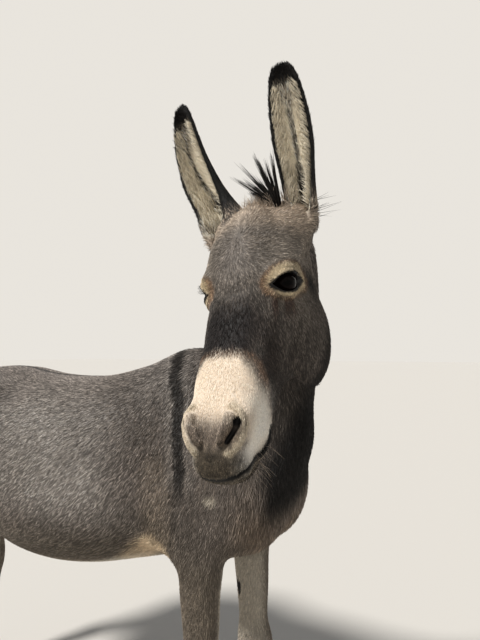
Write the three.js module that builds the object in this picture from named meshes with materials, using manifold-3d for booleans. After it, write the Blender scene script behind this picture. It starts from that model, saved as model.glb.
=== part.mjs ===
// A standing donkey, life size, with its head raised and turned to its right.
// Millimetres, +Z up. The animal faces -Y, so its right side is towards -X.
// The flesh is one smooth solid, the level surface of a field blended from lofts and ellipsoids.
// That solid is meshed region by region and parted with thin cuts into the named pieces of the body.
import * as THREE from "three";
import { mergeVertices } from "three/addons/utils/BufferGeometryUtils.js";
import Module from "manifold-3d";

const wasm = await Module();
wasm.setup();

// ---- Driving dimensions, mm ----
const WITHERS = 1200; // ground to the top of the withers
const STANDARD = 1200; // the height of withers at which every size below is given
const GAP = 0.3; // between two pieces that meet
const LEFT = 1; // sign of X on the animal's left
const RIGHT = -1;

const STANCE_X = 118; // a hoof's distance from the midline
const FORE_HOOF_Y = { [LEFT]: -140, [RIGHT]: -98 };
const HIND_HOOF_Y = { [LEFT]: 998, [RIGHT]: 905 };
const ELBOW_CUT_Z = 612; // where a foreleg is parted from the forequarters
const STIFLE_CUT_Z = 640; // where a hind leg is parted from the hindquarters
const CORONET_Z = 58; // top of the hoof
const HOOF_HALF_WIDTH = 44;
const EYE_RADIUS = 24;
const EAR_LENGTH = 290;
const EAR_THICKNESS = 7;
// Each ear: how far its root is from the midline, its lean, bow and turn outwards, and the flare of its scoop.
const EAR_CARRIAGE = {
  [LEFT]: { apart: 88, lean: 0.01, bow: 1, turned: 0, flare: 0 },
  [RIGHT]: { apart: 77, lean: 0.245, bow: 40, turned: 0.45, flare: 40 },
};
const LEEWAY = 3.5; // how far a facet may stray from the surface it stands for
const HEAD_LEEWAY = 2;

// The head's own frame: its origin is the poll, "forward" runs to the lips and "dorsal" out of the forehead.
const POLL = new THREE.Vector3(-285, -329, 1480);
const HEAD_FORWARD = new THREE.Vector3(-0.509, -0.075, -0.858).normalize();
const HEAD_DORSAL = new THREE.Vector3(-0.861, 0.042, 0.507);

// ---- Frames ----

/** A frame of axes "side", "along" and "up", square to each other, in which a part's own sizes are given. */
function makeFrame(origin, along, up) {
  const axis = along.clone().normalize();
  const side = axis.clone().cross(up).normalize();
  return { origin, side, along: axis, up: side.clone().cross(axis) };
}

/** The point (side, along, up) of a frame, in the animal's frame. */
function placeIn(frame, side, along, up) {
  return frame.origin
    .clone()
    .addScaledVector(frame.side, side)
    .addScaledVector(frame.along, along)
    .addScaledVector(frame.up, up);
}

const BODY = makeFrame(new THREE.Vector3(), new THREE.Vector3(0, 1, 0), new THREE.Vector3(0, 0, 1));
// Along +Z with "up" towards the front, for the upright lofts of the legs.
const UPRIGHT = makeFrame(new THREE.Vector3(), new THREE.Vector3(0, 0, 1), new THREE.Vector3(0, -1, 0));
// A head's side axis points to its right, so a feature on its left has a negative side.
const HEAD = makeFrame(POLL, HEAD_FORWARD, HEAD_DORSAL);
/** An eye's frame: "along" from its front corner to its rear one, "up" out between the lids. */
function eyeFrame(s) {
  const axis = (side, along, up) => placeIn(HEAD, s * side, along, up).sub(HEAD.origin);
  return makeFrame(placeIn(HEAD, s * 68.5, 173.5, -54), axis(0.72, -0.43, -0.55), axis(0.68, 0.52, 0.52));
}

const NECK_BASE = new THREE.Vector3(0, -185, 1065);
const NECK_TOP = new THREE.Vector3(-130, -335, 1420);
const NECK = makeFrame(NECK_BASE, NECK_TOP.clone().sub(NECK_BASE), new THREE.Vector3(0, 0.82, 0.58));

// ---- Field functions: below zero inside, in millimetres ----

/** The smaller of two distances, with the crease between them rounded over a width k. */
function smoothMin(a, b, k) {
  const h = Math.max(k - Math.abs(a - b), 0) / k;
  return Math.min(a, b) - (h * h * k) / 4;
}

const smoothMax = (a, b, k) => -smoothMin(-a, -b, k);

/** Columns of stations joined by cubic curves through them, sampled finely once and then interpolated. */
function stationCurve(rows, samples = 200) {
  const first = rows[0][0];
  const last = rows[rows.length - 1][0];
  const slope = (j, c) => {
    const [before, after] = [rows[Math.max(j - 1, 0)], rows[Math.min(j + 1, rows.length - 1)]];
    return (after[c] - before[c]) / (after[0] - before[0]);
  };
  const table = Array.from({ length: samples + 1 }, (_, i) => {
    const s = first + ((last - first) * i) / samples;
    const j = Math.min(rows.findLastIndex((r) => r[0] <= s), rows.length - 2);
    const width = rows[j + 1][0] - rows[j][0];
    const t = (s - rows[j][0]) / width;
    const [t2, t3] = [t * t, t * t * t];
    return rows[j].map(
      (value, c) =>
        (2 * t3 - 3 * t2 + 1) * value +
        (t3 - 2 * t2 + t) * width * slope(j, c) +
        (3 * t2 - 2 * t3) * rows[j + 1][c] +
        (t3 - t2) * width * slope(j + 1, c),
    );
  });
  return (s) => {
    const at = Math.min(Math.max((s - first) / (last - first), 0), 1) * samples;
    const i = Math.min(Math.floor(at), samples - 1);
    const [low, high, share] = [table[i], table[i + 1], at - i];
    return low.map((value, c) => value + (high[c] - value) * share);
  };
}

/**
 * A loft: sections square to a frame's "along" axis. Each station is
 * [along, centre side, centre up, half width, reach up, reach down, power, roll in degrees],
 * a superellipse whose upper and lower halves have reaches of their own.
 */
function loft(frame, rows, cap) {
  const section = stationCurve(rows);
  const [first, last] = [rows[0][0], rows[rows.length - 1][0]];
  const { origin: o, side: a, along: b, up: c } = frame;
  return (x, y, z) => {
    const [dx, dy, dz] = [x - o.x, y - o.y, z - o.z];
    const s = dx * b.x + dy * b.y + dz * b.z;
    const [, side, up, width, above, below, power, roll] = section(s);
    const p = dx * a.x + dy * a.y + dz * a.z - side;
    const q = dx * c.x + dy * c.y + dz * c.z - up;
    const turn = THREE.MathUtils.degToRad(roll);
    const across = p * Math.cos(turn) - q * Math.sin(turn);
    const upward = p * Math.sin(turn) + q * Math.cos(turn);
    const shareUp = Math.abs(upward) / (upward > 0 ? above : below);
    const shareOut = (shareUp ** power + Math.abs(across / width) ** power) ** (1 / power);
    const reach = Math.hypot(across, upward);
    const wall = reach - reach / Math.max(shareOut, 1e-6);
    return smoothMax(smoothMax(wall, first - s, cap), s - last, cap);
  };
}

/** An ellipsoid at (side, along, up) of a frame, with half sizes along them, pitched about the side axis. */
function ellipsoid(frame, at, size, pitch = 0) {
  const centre = placeIn(frame, ...at);
  const turn = THREE.MathUtils.degToRad(pitch);
  const along = frame.along.clone().multiplyScalar(Math.cos(turn)).addScaledVector(frame.up, Math.sin(turn));
  const up = frame.up.clone().multiplyScalar(Math.cos(turn)).addScaledVector(frame.along, -Math.sin(turn));
  const axes = [frame.side, along, up];
  return (x, y, z) => {
    const d = [x - centre.x, y - centre.y, z - centre.z];
    let [k0, k1] = [0, 0];
    axes.forEach((axis, i) => {
      const share = (d[0] * axis.x + d[1] * axis.y + d[2] * axis.z) / size[i];
      k0 += share * share;
      k1 += (share / size[i]) ** 2;
    });
    return k1 > 0 ? (Math.sqrt(k0) * (Math.sqrt(k0) - 1)) / Math.sqrt(k1) : -Math.min(...size);
  };
}

// ---- The donkey's lofts and muscles, at a withers' height of STANDARD ----

// Trunk stations: [y, 0, centre z, half width, up, down, power, 0], chest to buttocks.
const TRUNK = [
  [-325, 0, 905, 56, 80, 76, 2, 0],
  [-285, 0, 892, 96, 140, 118, 2, 0],
  [-200, 0, 880, 146, 235, 172, 2, 0],
  [-100, 0, 868, 172, 310, 198, 1.95, 0],
  [0, 0, 860, 188, 340, 212, 1.75, 0],
  [120, 0, 858, 226, 298, 240, 1.95, 0],
  [260, 0, 860, 256, 263, 276, 2.1, 0],
  [400, 0, 862, 267, 253, 294, 2.15, 0],
  [540, 0, 872, 262, 250, 296, 2.1, 0],
  [660, 0, 890, 244, 250, 268, 2.05, 0],
  [780, 0, 915, 218, 225, 232, 2, 0],
  [880, 0, 930, 184, 184, 190, 2, 0],
  [960, 0, 930, 134, 130, 140, 2, 0],
  [1010, 0, 925, 76, 70, 80, 2, 0],
];

// Neck stations along the chord from its base to the back of the skull, rolling as the head turns.
const NECK_ROWS = [
  [-160, 20, 10, 106, 150, 140, 2, 0],
  [-60, -2, 0, 110, 172, 168, 2, 0],
  [0, -12, -8, 104, 170, 164, 2, -4],
  [100, -28, -18, 86, 146, 140, 2, -14],
  [200, -38, -26, 74, 120, 124, 2, -30],
  [300, -38, -22, 67, 97, 108, 2, -48],
  [370, -28, -12, 62, 79, 94, 2, -62],
  [430, -10, 0, 55, 66, 78, 2, -74],
  [465, 2, 4, 44, 50, 60, 2, -78],
];

// Head stations from the nape to the lips: [along, 0, centre up, half width, up, down, power, 0].
const HEAD_ROWS = [
  [-46, 0, -70, 42, 36, 54, 2, 0],
  [0, 0, -88, 68, 84, 106, 2.1, 0],
  [60, 0, -98, 83, 102, 134, 2.3, 0],
  [120, 0, -104, 87, 110, 152, 2.4, 0],
  [185, 0, -104, 84, 107, 164, 2.4, 0],
  [230, 0, -98, 77, 96, 162, 2.5, 0],
  [270, 0, -90, 72, 85, 142, 2.5, 0],
  [312, 0, -84, 67, 75, 106, 2.5, 0],
  [370, 0, -78, 66, 64, 74, 2.6, 0],
  [430, 0, -76, 57, 56, 62, 2.6, 0],
  [480, 0, -78, 46, 46, 56, 2.5, 0],
  [516, 0, -84, 38, 34, 36, 2.2, 0],
];

// Foreleg stations: [z, centre x, forward shift, half width, front, back, power, 0], sole end first.
const FORELEG_ROWS = [
  [44, 0, 27, 33, 33, 29, 2, 0],
  [60, 0, 21, 33, 33, 31, 2, 0],
  [84, 0, 11, 29, 29, 29, 2, 0],
  [108, 0, 1, 32, 31, 35, 2, 0],
  [132, 0, -2, 33, 31, 36, 2, 0],
  [168, 0, -3, 27, 25, 31, 2, 0],
  [230, 0, -3, 25, 24, 30, 2, 0],
  [290, 0, -2, 28, 27, 31, 2, 0],
  [328, 0, 0, 41, 41, 38, 2.2, 0],
  [368, 0, 2, 49, 50, 45, 2.3, 0],
  [408, 0, 0, 47, 49, 47, 2.2, 0],
  [458, 0, -2, 40, 42, 42, 2, 0],
  [535, 2, -4, 44, 46, 46, 2, 0],
  [615, 4, -8, 50, 52, 52, 2, 0],
  [700, 2, -12, 56, 66, 60, 2, 0],
  [780, -8, -18, 60, 82, 74, 2, 0],
  [860, -20, -24, 56, 92, 88, 2, 0],
];

// Hind leg stations, the same columns. The hoof is the reference, so the hock sits behind it.
const HIND_LEG_ROWS = [
  [44, 0, 27, 32, 33, 29, 2, 0],
  [60, 0, 21, 32, 33, 31, 2, 0],
  [84, 0, 10, 28, 29, 29, 2, 0],
  [108, 0, -1, 32, 31, 35, 2, 0],
  [134, 0, -6, 33, 31, 36, 2, 0],
  [172, 0, -10, 27, 26, 32, 2, 0],
  [250, 0, -16, 26, 26, 33, 2, 0],
  [330, 0, -20, 29, 31, 38, 2, 0],
  [385, 0, -24, 38, 40, 43, 2.2, 0],
  [430, 0, -30, 40, 44, 49, 2.2, 0],
  [475, 0, -32, 36, 44, 57, 2, 0],
  [525, 0, -18, 38, 52, 57, 2, 0],
  [590, 4, 12, 49, 68, 70, 2, 0],
  [660, 8, 48, 62, 88, 96, 2, 0],
  [740, 6, 70, 74, 112, 132, 2, 0],
  [830, -4, 64, 84, 134, 160, 2, 0],
  [920, -24, 48, 86, 130, 166, 2, 0],
  [1000, -48, 40, 70, 96, 130, 2, 0],
];
const FORE_REST_Y = -126; // where a foreleg stands when it is upright
const HIND_REST_Y = 915;
const SWING_TOP_Z = 900; // the height a leg swings from

// Tail stations: [z, 0, forward shift, half width, front, back, power, 0], from its hair's tip to the croup.
const TAIL_ROWS = [
  [380, 0, -1052, 10, 10, 12, 2, 0],
  [430, 0, -1052, 24, 24, 26, 2, 0],
  [520, 0, -1052, 34, 32, 34, 2, 0],
  [620, 0, -1052, 32, 30, 32, 2, 0],
  [700, 0, -1052, 24, 22, 24, 2, 0],
  [800, 0, -1050, 23, 21, 23, 2, 0],
  [920, 0, -1044, 25, 23, 25, 2, 0],
  [1000, 0, -1028, 28, 26, 28, 2, 0],
  [1040, 0, -1010, 30, 32, 30, 2, 0],
  [1070, 0, -984, 25, 36, 26, 2, 0],
];

/** A leg's loft, swung about its top so that it stands with its hoof at y on one side of the body. */
function legLoft(rows, side, y, restY) {
  const placed = rows.map(([z, x, forward, ...rest]) => {
    const swing = (y - restY) * Math.max(1 - z / SWING_TOP_Z, 0);
    return [z, side * (STANCE_X + x), forward - restY - swing, ...rest];
  });
  return loft(UPRIGHT, placed, 10);
}

const both = (make) => [LEFT, RIGHT].map(make);

/** An ellipsoid to blend in over a width, or a mirrored pair of them where it stands off the midline. */
const forms = (frame, [side, along, up], size, pitch, blend) =>
  (side ? [1, -1] : [1]).map((s) => ({ form: ellipsoid(frame, [s * side, along, up], size, pitch), blend }));

// Muscles and bony points of the body: place, half sizes, pitch and the width of the blend.
const BODY_FORMS = [
  ...forms(BODY, [102, -104, 935], [62, 116, 190], -26, 90), // shoulder
  ...forms(BODY, [122, -40, 795], [62, 110, 105], 20, 60), // upper arm
  ...forms(BODY, [70, -214, 830], [78, 78, 112], 0, 70), // breast
  ...forms(BODY, [120, -82, 724], [46, 46, 46], 0, 28), // elbow
  ...forms(BODY, [178, 655, 1040], [48, 80, 48], 0, 90), // point of hip
  ...forms(BODY, [128, 815, 900], [98, 170, 225], 12, 80), // thigh
  ...forms(BODY, [82, 930, 925], [80, 82, 160], 0, 60), // buttock
  ...forms(BODY, [0, 985, 1052], [26, 52, 28], -50, 50), // root of the tail
];

// Forms of the head, in its own frame. The side is given for its right, and both sides are made.
const HEAD_FORMS = [
  ...forms(HEAD, [64, 174, -38], [31, 42, 34], 0, 22), // orbit
  ...forms(HEAD, [65, 196, -196], [36, 102, 104], -10, 26), // cheek
  ...forms(HEAD, [58, 262, -84], [14, 70, 13], -4, 26), // facial crest
  ...forms(HEAD, [65, 24, -66], [42, 54, 48], 0, 32), // ear's root
  ...forms(HEAD, [34, 446, -46], [22, 36, 28], -10, 20), // nostril wing
  ...forms(HEAD, [42, 436, -98], [21, 42, 23], -20, 20), // mouth's corner
  ...forms(HEAD, [0, 496, -80], [46, 30, 34], 0, 18), // upper lip
  ...forms(HEAD, [0, 474, -124], [38, 38, 21], 0, 14), // lower lip and chin
  ...forms(HEAD, [62, 98, -44], [30, 62, 38], 0, 30), // temple
  ...forms(HEAD, [0, 110, -8], [50, 84, 22], 0, 40), // forehead
];
// Hollows of the head: a nostril and the opening between the lids on each side.
const HEAD_HOLLOWS = both((s) => [
  { frame: HEAD, at: [s * 54, 456, -36], size: [12, 20, 9], pitch: -30 },
  { frame: eyeFrame(s), at: [0, 0, 27], size: [16, 34, 20], pitch: 0 },
]).flat();

const CORE = [
  { form: loft(BODY, TRUNK, 60), blend: 1 },
  { form: loft(NECK, NECK_ROWS, 50), blend: 90 },
  ...both((s) => ({ form: legLoft(FORELEG_ROWS, s, FORE_HOOF_Y[s], FORE_REST_Y), blend: 40 })),
  ...both((s) => ({ form: legLoft(HIND_LEG_ROWS, s, HIND_HOOF_Y[s], HIND_REST_Y), blend: 50 })),
  ...BODY_FORMS,
];

const HEAD_CORE = [{ form: loft(HEAD, HEAD_ROWS, 26), blend: 1 }, ...HEAD_FORMS];
const HEAD_TO_NECK = 46; // blend between the finished head and the finished body

const blended = (parts) => (x, y, z) =>
  parts.reduce((sum, { form, blend }) => smoothMin(sum, form(x, y, z), blend), 1e6);

const bodyField = blended(CORE);
const headField = blended(HEAD_CORE);
const fleshField = (x, y, z) => smoothMin(bodyField(x, y, z), headField(x, y, z), HEAD_TO_NECK);

// ---- Meshing ----

/** Coordinates from a start through [end, step] stretches, at even steps within each. */
function ticks(start, ...stretches) {
  const marks = [start];
  for (const [end, step] of stretches) {
    const from = marks[marks.length - 1];
    const count = Math.max(Math.round((end - from) / step), 1);
    for (let i = 1; i <= count; i++) marks.push(from + ((end - from) * i) / count);
  }
  return marks;
}

/**
 * A closed mesh of the field's zero surface inside a box of a frame. The grid's lines across "side", "along"
 * and "up" are given, and each cell that the surface crosses gets one vertex.
 */
function surfaceNet(field, frame, grid) {
  const marks = grid.map((m) => [2 * m[0] - m[1], ...m, 2 * m[m.length - 1] - m[m.length - 2]]);
  const ends = grid.map((m) => [m[0], m[m.length - 1]]);
  const inFrame = (p) => placeIn(frame, ...p);
  const boxed = (p) => {
    const q = inFrame(p);
    return Math.max(field(q.x, q.y, q.z), ...p.map((c, i) => Math.max(ends[i][0] - c, c - ends[i][1])));
  };
  const [nx, ny, nz] = marks.map((m) => m.length);
  const values = new Float64Array(nx * ny * nz);
  const index = (i, j, k) => i + nx * (j + ny * k);
  for (let k = 0; k < nz; k++)
    for (let j = 0; j < ny; j++)
      for (let i = 0; i < nx; i++) values[index(i, j, k)] = boxed([marks[0][i], marks[1][j], marks[2][k]]);
  const corners = [...Array(8).keys()].map((n) => [n & 1, (n >> 1) & 1, (n >> 2) & 1]);
  const edges = corners.flatMap((_, n) => [1, 2, 4].filter((bit) => !(n & bit)).map((bit) => [n, n | bit]));
  const vertexOf = new Map();
  const vertices = [];
  for (let k = 0; k < nz - 1; k++)
    for (let j = 0; j < ny - 1; j++)
      for (let i = 0; i < nx - 1; i++) {
        const cell = [i, j, k];
        const v = corners.map(([a, b, c]) => values[index(i + a, j + b, k + c)]);
        if (v.every((value) => value < 0) || v.every((value) => value >= 0)) continue;
        const size = cell.map((start, axis) => marks[axis][start + 1] - marks[axis][start]);
        const sum = [0, 0, 0];
        let hits = 0;
        for (const [m, n] of edges) {
          if (v[m] < 0 === v[n] < 0) continue;
          const t = v[m] / (v[m] - v[n]);
          sum.forEach((_, axis) => {
            sum[axis] += corners[m][axis] + t * (corners[n][axis] - corners[m][axis]);
          });
          hits++;
        }
        const start = cell.map((at, axis) => marks[axis][at] + (size[axis] * sum[axis]) / hits);
        vertexOf.set(index(i, j, k), vertices.length);
        vertices.push(inFrame(settled(boxed, start, size)).toArray());
      }
  const faces = [];
  const steps = [index(1, 0, 0), index(0, 1, 0), index(0, 0, 1)];
  for (let k = 1; k < nz - 1; k++)
    for (let j = 1; j < ny - 1; j++)
      for (let i = 1; i < nx - 1; i++) {
        const here = index(i, j, k);
        steps.forEach((step, axis) => {
          if (values[here] < 0 === values[here + step] < 0) return;
          const [u, w] = [steps[(axis + 1) % 3], steps[(axis + 2) % 3]];
          const ring = [here - u - w, here - w, here, here - u].map((cellIndex) => vertexOf.get(cellIndex));
          const [a, b, c, d] = values[here] < 0 ? ring : ring.reverse();
          faces.push([a, b, c], [a, c, d]);
        });
      }
  return solidOf(vertices, faces);
}

/** A point moved to the field's zero surface along its slope, by no more than half a cell. */
function settled(field, start, size) {
  const step = 0.5;
  const most = Math.min(...size) / 2;
  let p = start;
  for (let round = 0; round < 2; round++) {
    const value = field(p);
    const slope = p.map((_, i) => (field(p.map((c, j) => (i === j ? c + step : c))) - value) / step);
    const steepness = Math.max(slope.reduce((sum, g) => sum + g * g, 0), 0.2);
    const move = Math.max(-most, Math.min(most, value / steepness));
    p = p.map((coordinate, i) => coordinate - slope[i] * move);
  }
  return p;
}

/** A manifold solid of vertices and triangles. */
function solidOf(vertices, faces) {
  const mesh = {
    numProp: 3,
    vertProperties: new Float32Array(vertices.flat()),
    triVerts: new Uint32Array(faces.flat()),
  };
  return new wasm.Manifold(new wasm.Mesh(mesh));
}

/** A manifold solid of a closed three.js geometry. */
function solidOfGeometry(geometry) {
  const bare = new THREE.BufferGeometry().setAttribute("position", geometry.getAttribute("position"));
  bare.setIndex(geometry.index);
  const merged = mergeVertices(bare, 1e-3);
  const mesh = {
    numProp: 3,
    vertProperties: new Float32Array(merged.attributes.position.array),
    triVerts: new Uint32Array(merged.index.array),
  };
  return new wasm.Manifold(new wasm.Mesh(mesh));
}

/** An ellipsoid as a solid, placed as the field function of that name places it. */
function ellipsoidSolid({ frame, at, size, pitch }) {
  const geometry = new THREE.SphereGeometry(1, 12, 8).scale(...size);
  geometry.rotateX(THREE.MathUtils.degToRad(pitch));
  const axes = new THREE.Matrix4().makeBasis(frame.side, frame.along, frame.up);
  return solidOfGeometry(geometry.applyMatrix4(axes)).translate(placeIn(frame, ...at).toArray());
}

/** A solid through rings of points, each ring running the same way round, with both ends closed across. */
function ringSolid(rings) {
  const count = rings[0].length;
  const faces = [];
  for (let r = 0; r < rings.length - 1; r++)
    for (let i = 0; i < count; i++) {
      const [a, b] = [r * count + i, r * count + ((i + 1) % count)];
      faces.push([a, b, b + count], [a, b + count, a + count]);
    }
  const top = (rings.length - 1) * count;
  for (let i = 0; i < count / 2 - 1; i++) {
    const [a, b, c, d] = [i, i + 1, count - 2 - i, count - 1 - i];
    faces.push([a, c, b], [a, d, c], [top + a, top + b, top + c], [top + a, top + c, top + d]);
  }
  return solidOf(rings.flat().map((p) => p.toArray()), faces);
}

/** The largest of a solid's separate pieces. */
const largest = (solid) => solid.decompose().reduce((a, b) => (a.volume() > b.volume() ? a : b));

/** What of a solid lies on the side of a plane that its normal points to, half a gap from it. */
function keepBeyond(solid, { point, normal }) {
  const unit = normal.clone().normalize();
  return solid.trimByPlane(unit.toArray(), unit.dot(point) + GAP / 2);
}

/** The other side of the same cut. */
const reversed = ({ point, normal }) => ({ point, normal: normal.clone().negate() });

// ---- Cuts between the pieces ----
const NAPE_CUT = {
  point: placeIn(HEAD, 0, -14, -90),
  normal: HEAD.along.clone().addScaledVector(HEAD.up, 0.5),
};
const THROAT_CUT = {
  point: placeIn(HEAD, 0, 78, -262),
  normal: HEAD.up.clone().addScaledVector(HEAD.along, 0.25),
};
const SHOULDER_CUT = { point: new THREE.Vector3(0, -180, 1075), normal: new THREE.Vector3(0, -0.6, 0.8) };
const BARREL_FRONT = { point: new THREE.Vector3(0, 110, 0), normal: new THREE.Vector3(0, 1, 0) };
const BARREL_BACK = { point: new THREE.Vector3(0, 620, 0), normal: new THREE.Vector3(0, 1, 0) };
const ELBOW_CUT = { point: new THREE.Vector3(0, 0, ELBOW_CUT_Z), normal: new THREE.Vector3(0, 0, 1) };
const STIFLE_CUT = {
  point: new THREE.Vector3(0, HIND_REST_Y, STIFLE_CUT_Z),
  normal: new THREE.Vector3(0, -0.37, 0.93),
};
const CORONET_CUT = { point: new THREE.Vector3(0, 0, CORONET_Z), normal: new THREE.Vector3(0, 0, 1) };

const solids = {};
{
  const grid = [
    ticks(-130, [130, 17]),
    ticks(-75, [395, 22], [545, 15]),
    ticks(-300, [40, 18]),
  ];
  const made = surfaceNet(fleshField, HEAD, grid).simplify(HEAD_LEEWAY);
  solids.head = keepBeyond(keepBeyond(made, NAPE_CUT), THROAT_CUT);
  for (const hollow of HEAD_HOLLOWS) solids.head = solids.head.subtract(ellipsoidSolid(hollow));
  const swollen = surfaceNet((x, y, z) => fleshField(x, y, z) - 2.5, HEAD, grid);
  for (const side of [LEFT, RIGHT]) {
    const eye = new THREE.SphereGeometry(EYE_RADIUS, 12, 8);
    const hole = new THREE.SphereGeometry(EYE_RADIUS + GAP + 0.2, 12, 8);
    const centre = eyeFrame(-side).origin;
    const name = side === LEFT ? "left" : "right";
    solids["eye_" + name] = solidOfGeometry(eye).translate(centre.toArray());
    solids.head = solids.head.subtract(solidOfGeometry(hole).translate(centre.toArray()));
    solids["ear_" + name] = largest(earSolid(side).subtract(swollen));
  }
}
{
  const grid = [ticks(-340, [300, 38]), ticks(-480, [-90, 38], [1070, 52]), ticks(530, [1540, 40])];
  const body = surfaceNet(fleshField, BODY, grid).simplify(LEEWAY);
  const neck = keepBeyond(body, SHOULDER_CUT);
  solids.neck = keepBeyond(neck, reversed(NAPE_CUT)).add(keepBeyond(neck, reversed(THROAT_CUT)));
  const trunk = keepBeyond(body, reversed(SHOULDER_CUT));
  const fore = keepBeyond(trunk, reversed(BARREL_FRONT));
  solids.forequarters = keepBeyond(fore, ELBOW_CUT);
  solids.barrel = keepBeyond(keepBeyond(trunk, BARREL_FRONT), reversed(BARREL_BACK));
  solids.hindquarters = keepBeyond(keepBeyond(trunk, BARREL_BACK), STIFLE_CUT);
  const swollen = surfaceNet((x, y, z) => fleshField(x, y, z) - 5, BODY, grid);
  const tailGrid = [ticks(-45, [45, 18]), ticks(920, [1110, 18]), ticks(360, [960, 75], [1120, 23])];
  const tail = surfaceNet(loft(UPRIGHT, TAIL_ROWS, 12), BODY, tailGrid).simplify(HEAD_LEEWAY);
  solids.tail = largest(tail.subtract(swollen));
}
for (const side of [LEFT, RIGHT]) {
  const name = side === LEFT ? "left" : "right";
  const across = side === LEFT ? [15, 225] : [-225, -15];
  const parts = {
    foreleg: { y: FORE_HOOF_Y[side], rest: FORE_REST_Y, top: 660, cut: ELBOW_CUT, front: 80, back: 85 },
    hind_leg: { y: HIND_HOOF_Y[side], rest: HIND_REST_Y, top: 730, cut: STIFLE_CUT, front: 190, back: 150 },
  };
  for (const [kind, { y, rest, top, cut, front, back }] of Object.entries(parts)) {
    const reach = [Math.min(y, rest) - front, Math.max(y, rest) + back];
    const grid = [
      ticks(across[0], [across[1], 21]),
      ticks(reach[0], [reach[1], 21]),
      ticks(20, [150, 26], [310, 53], [410, 33], [top, 50]),
    ];
    const leg = keepBeyond(surfaceNet(fleshField, BODY, grid).simplify(LEEWAY), reversed(cut));
    solids[kind + "_" + name] = keepBeyond(leg, CORONET_CUT);
    solids["hoof_" + (kind === "foreleg" ? "fore_" : "hind_") + name] = hoofSolid(side, y);
  }
}
/** A hoof: upright walls spreading to a flat sole, longer at the toe, under the coronet of a leg at y. */
function hoofSolid(side, y) {
  const count = 16;
  const levels = [
    [0, 1.0, 58, 42, 12],
    [5, 1.03, 60, 42, 12],
    [CORONET_Z - 6 - GAP / 2, 0.84, 36, 34, 22],
    [CORONET_Z - GAP / 2, 0.78, 33, 31, 22],
  ];
  const rings = levels.map(([z, share, toe, heel, forward]) =>
    Array.from({ length: count }, (_, i) => {
      const angle = (2 * Math.PI * (i + 0.5)) / count;
      const along = Math.sin(angle);
      const x = side * STANCE_X + HOOF_HALF_WIDTH * share * Math.cos(angle);
      return new THREE.Vector3(x, y - forward - along * (along > 0 ? toe : heel), z);
    }).reverse(),
  );
  return ringSolid(rings);
}

/** An ear: a leaf rolled into a scoop, open towards the front, with thin walls and a blunt tip. */
function earSolid(side) {
  const { apart, lean, bow, turned, flare } = EAR_CARRIAGE[side];
  const root = placeIn(HEAD, -side * apart, 2, -54);
  const axis = placeIn(HEAD, -side * lean, -0.71, 0.69).sub(HEAD.origin);
  const opening = HEAD.along.clone().add(HEAD.up).addScaledVector(HEAD.side, -side * turned);
  const frame = makeFrame(root, axis, opening);
  // [share of the length, half width, depth of the scoop, half the angle of the roll in degrees, wall]
  const shape = stationCurve([
    [-0.12, 22, 20, 150, EAR_THICKNESS + 2],
    [0, 30, 29, 138, EAR_THICKNESS + 2],
    [0.1, 32, 32, 120, EAR_THICKNESS + 1],
    [0.2, 34, 32, 104, EAR_THICKNESS],
    [0.32, 38, 31, 92, EAR_THICKNESS],
    [0.46, 43, 29, 85, EAR_THICKNESS],
    [0.6, 44, 26, 80, EAR_THICKNESS],
    [0.74, 41, 22, 76, EAR_THICKNESS - 1],
    [0.86, 36, 18, 72, EAR_THICKNESS - 1],
    [0.94, 29, 13, 70, EAR_THICKNESS - 2],
    [1, 16, 7, 66, EAR_THICKNESS - 3],
  ]);
  const outward = -side * Math.sign(frame.side.dot(HEAD.side));
  const shares = ticks(-0.12, [0.74, 0.12], [1, 0.065]);
  const across = 7;
  const rings = shares.map((share) => {
    const [, narrow, shallow, roll, wall] = shape(share);
    const width = narrow + 0.35 * flare * (1 - share);
    const depth = shallow + flare * (1 - share);
    const bend = outward * bow * Math.sin(Math.PI * Math.min(Math.max(share, 0), 1));
    const edge = (inset) =>
      Array.from({ length: across }, (_, i) => {
        const turn = THREE.MathUtils.degToRad(roll * ((2 * i) / (across - 1) - 1));
        const out = (width - inset) * Math.sin(turn);
        return placeIn(frame, bend + out, share * EAR_LENGTH, -(depth - inset) * Math.cos(turn));
      });
    return [...edge(0).reverse(), ...edge(wall)];
  });
  return ringSolid(rings);
}

// ---- The scene graph ----
const FINISHES = {
  coat: { color: 0x5f564f, roughness: 0.92, metalness: 0 },
  ear: { color: 0x6b6259, roughness: 0.92, metalness: 0 },
  horn: { color: 0x37312c, roughness: 0.6, metalness: 0 },
  eye: { color: 0x120d0a, roughness: 0.08, metalness: 0 },
  hair: { color: 0x1c1918, roughness: 0.85, metalness: 0 },
};
const finishOf = (name) => {
  const kinds = { hoof: "horn", eye: "eye", ear: "ear", tail: "hair" };
  const found = Object.entries(kinds).find(([kind]) => name.startsWith(kind));
  return new THREE.MeshStandardMaterial(FINISHES[found ? found[1] : "coat"]);
};

const donkey = new THREE.Group();
const whole = new THREE.Box3();
const scaled = Object.entries(solids).map(([name, solid]) => [name, solid.scale(WITHERS / STANDARD)]);
for (const [, solid] of scaled) {
  const { min, max } = solid.boundingBox();
  whole.expandByPoint(new THREE.Vector3(...min)).expandByPoint(new THREE.Vector3(...max));
}
const middle = whole.getCenter(new THREE.Vector3());
for (const [name, solid] of scaled) {
  const mesh = solid.translate([-middle.x, -middle.y, -whole.min.z]).getMesh();
  const geometry = new THREE.BufferGeometry()
    .setAttribute("position", new THREE.BufferAttribute(mesh.vertProperties, 3))
    .setIndex(new THREE.BufferAttribute(mesh.triVerts, 1));
  const piece = new THREE.Mesh(geometry, finishOf(name));
  piece.name = name;
  donkey.add(piece);
}

export default donkey;
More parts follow.
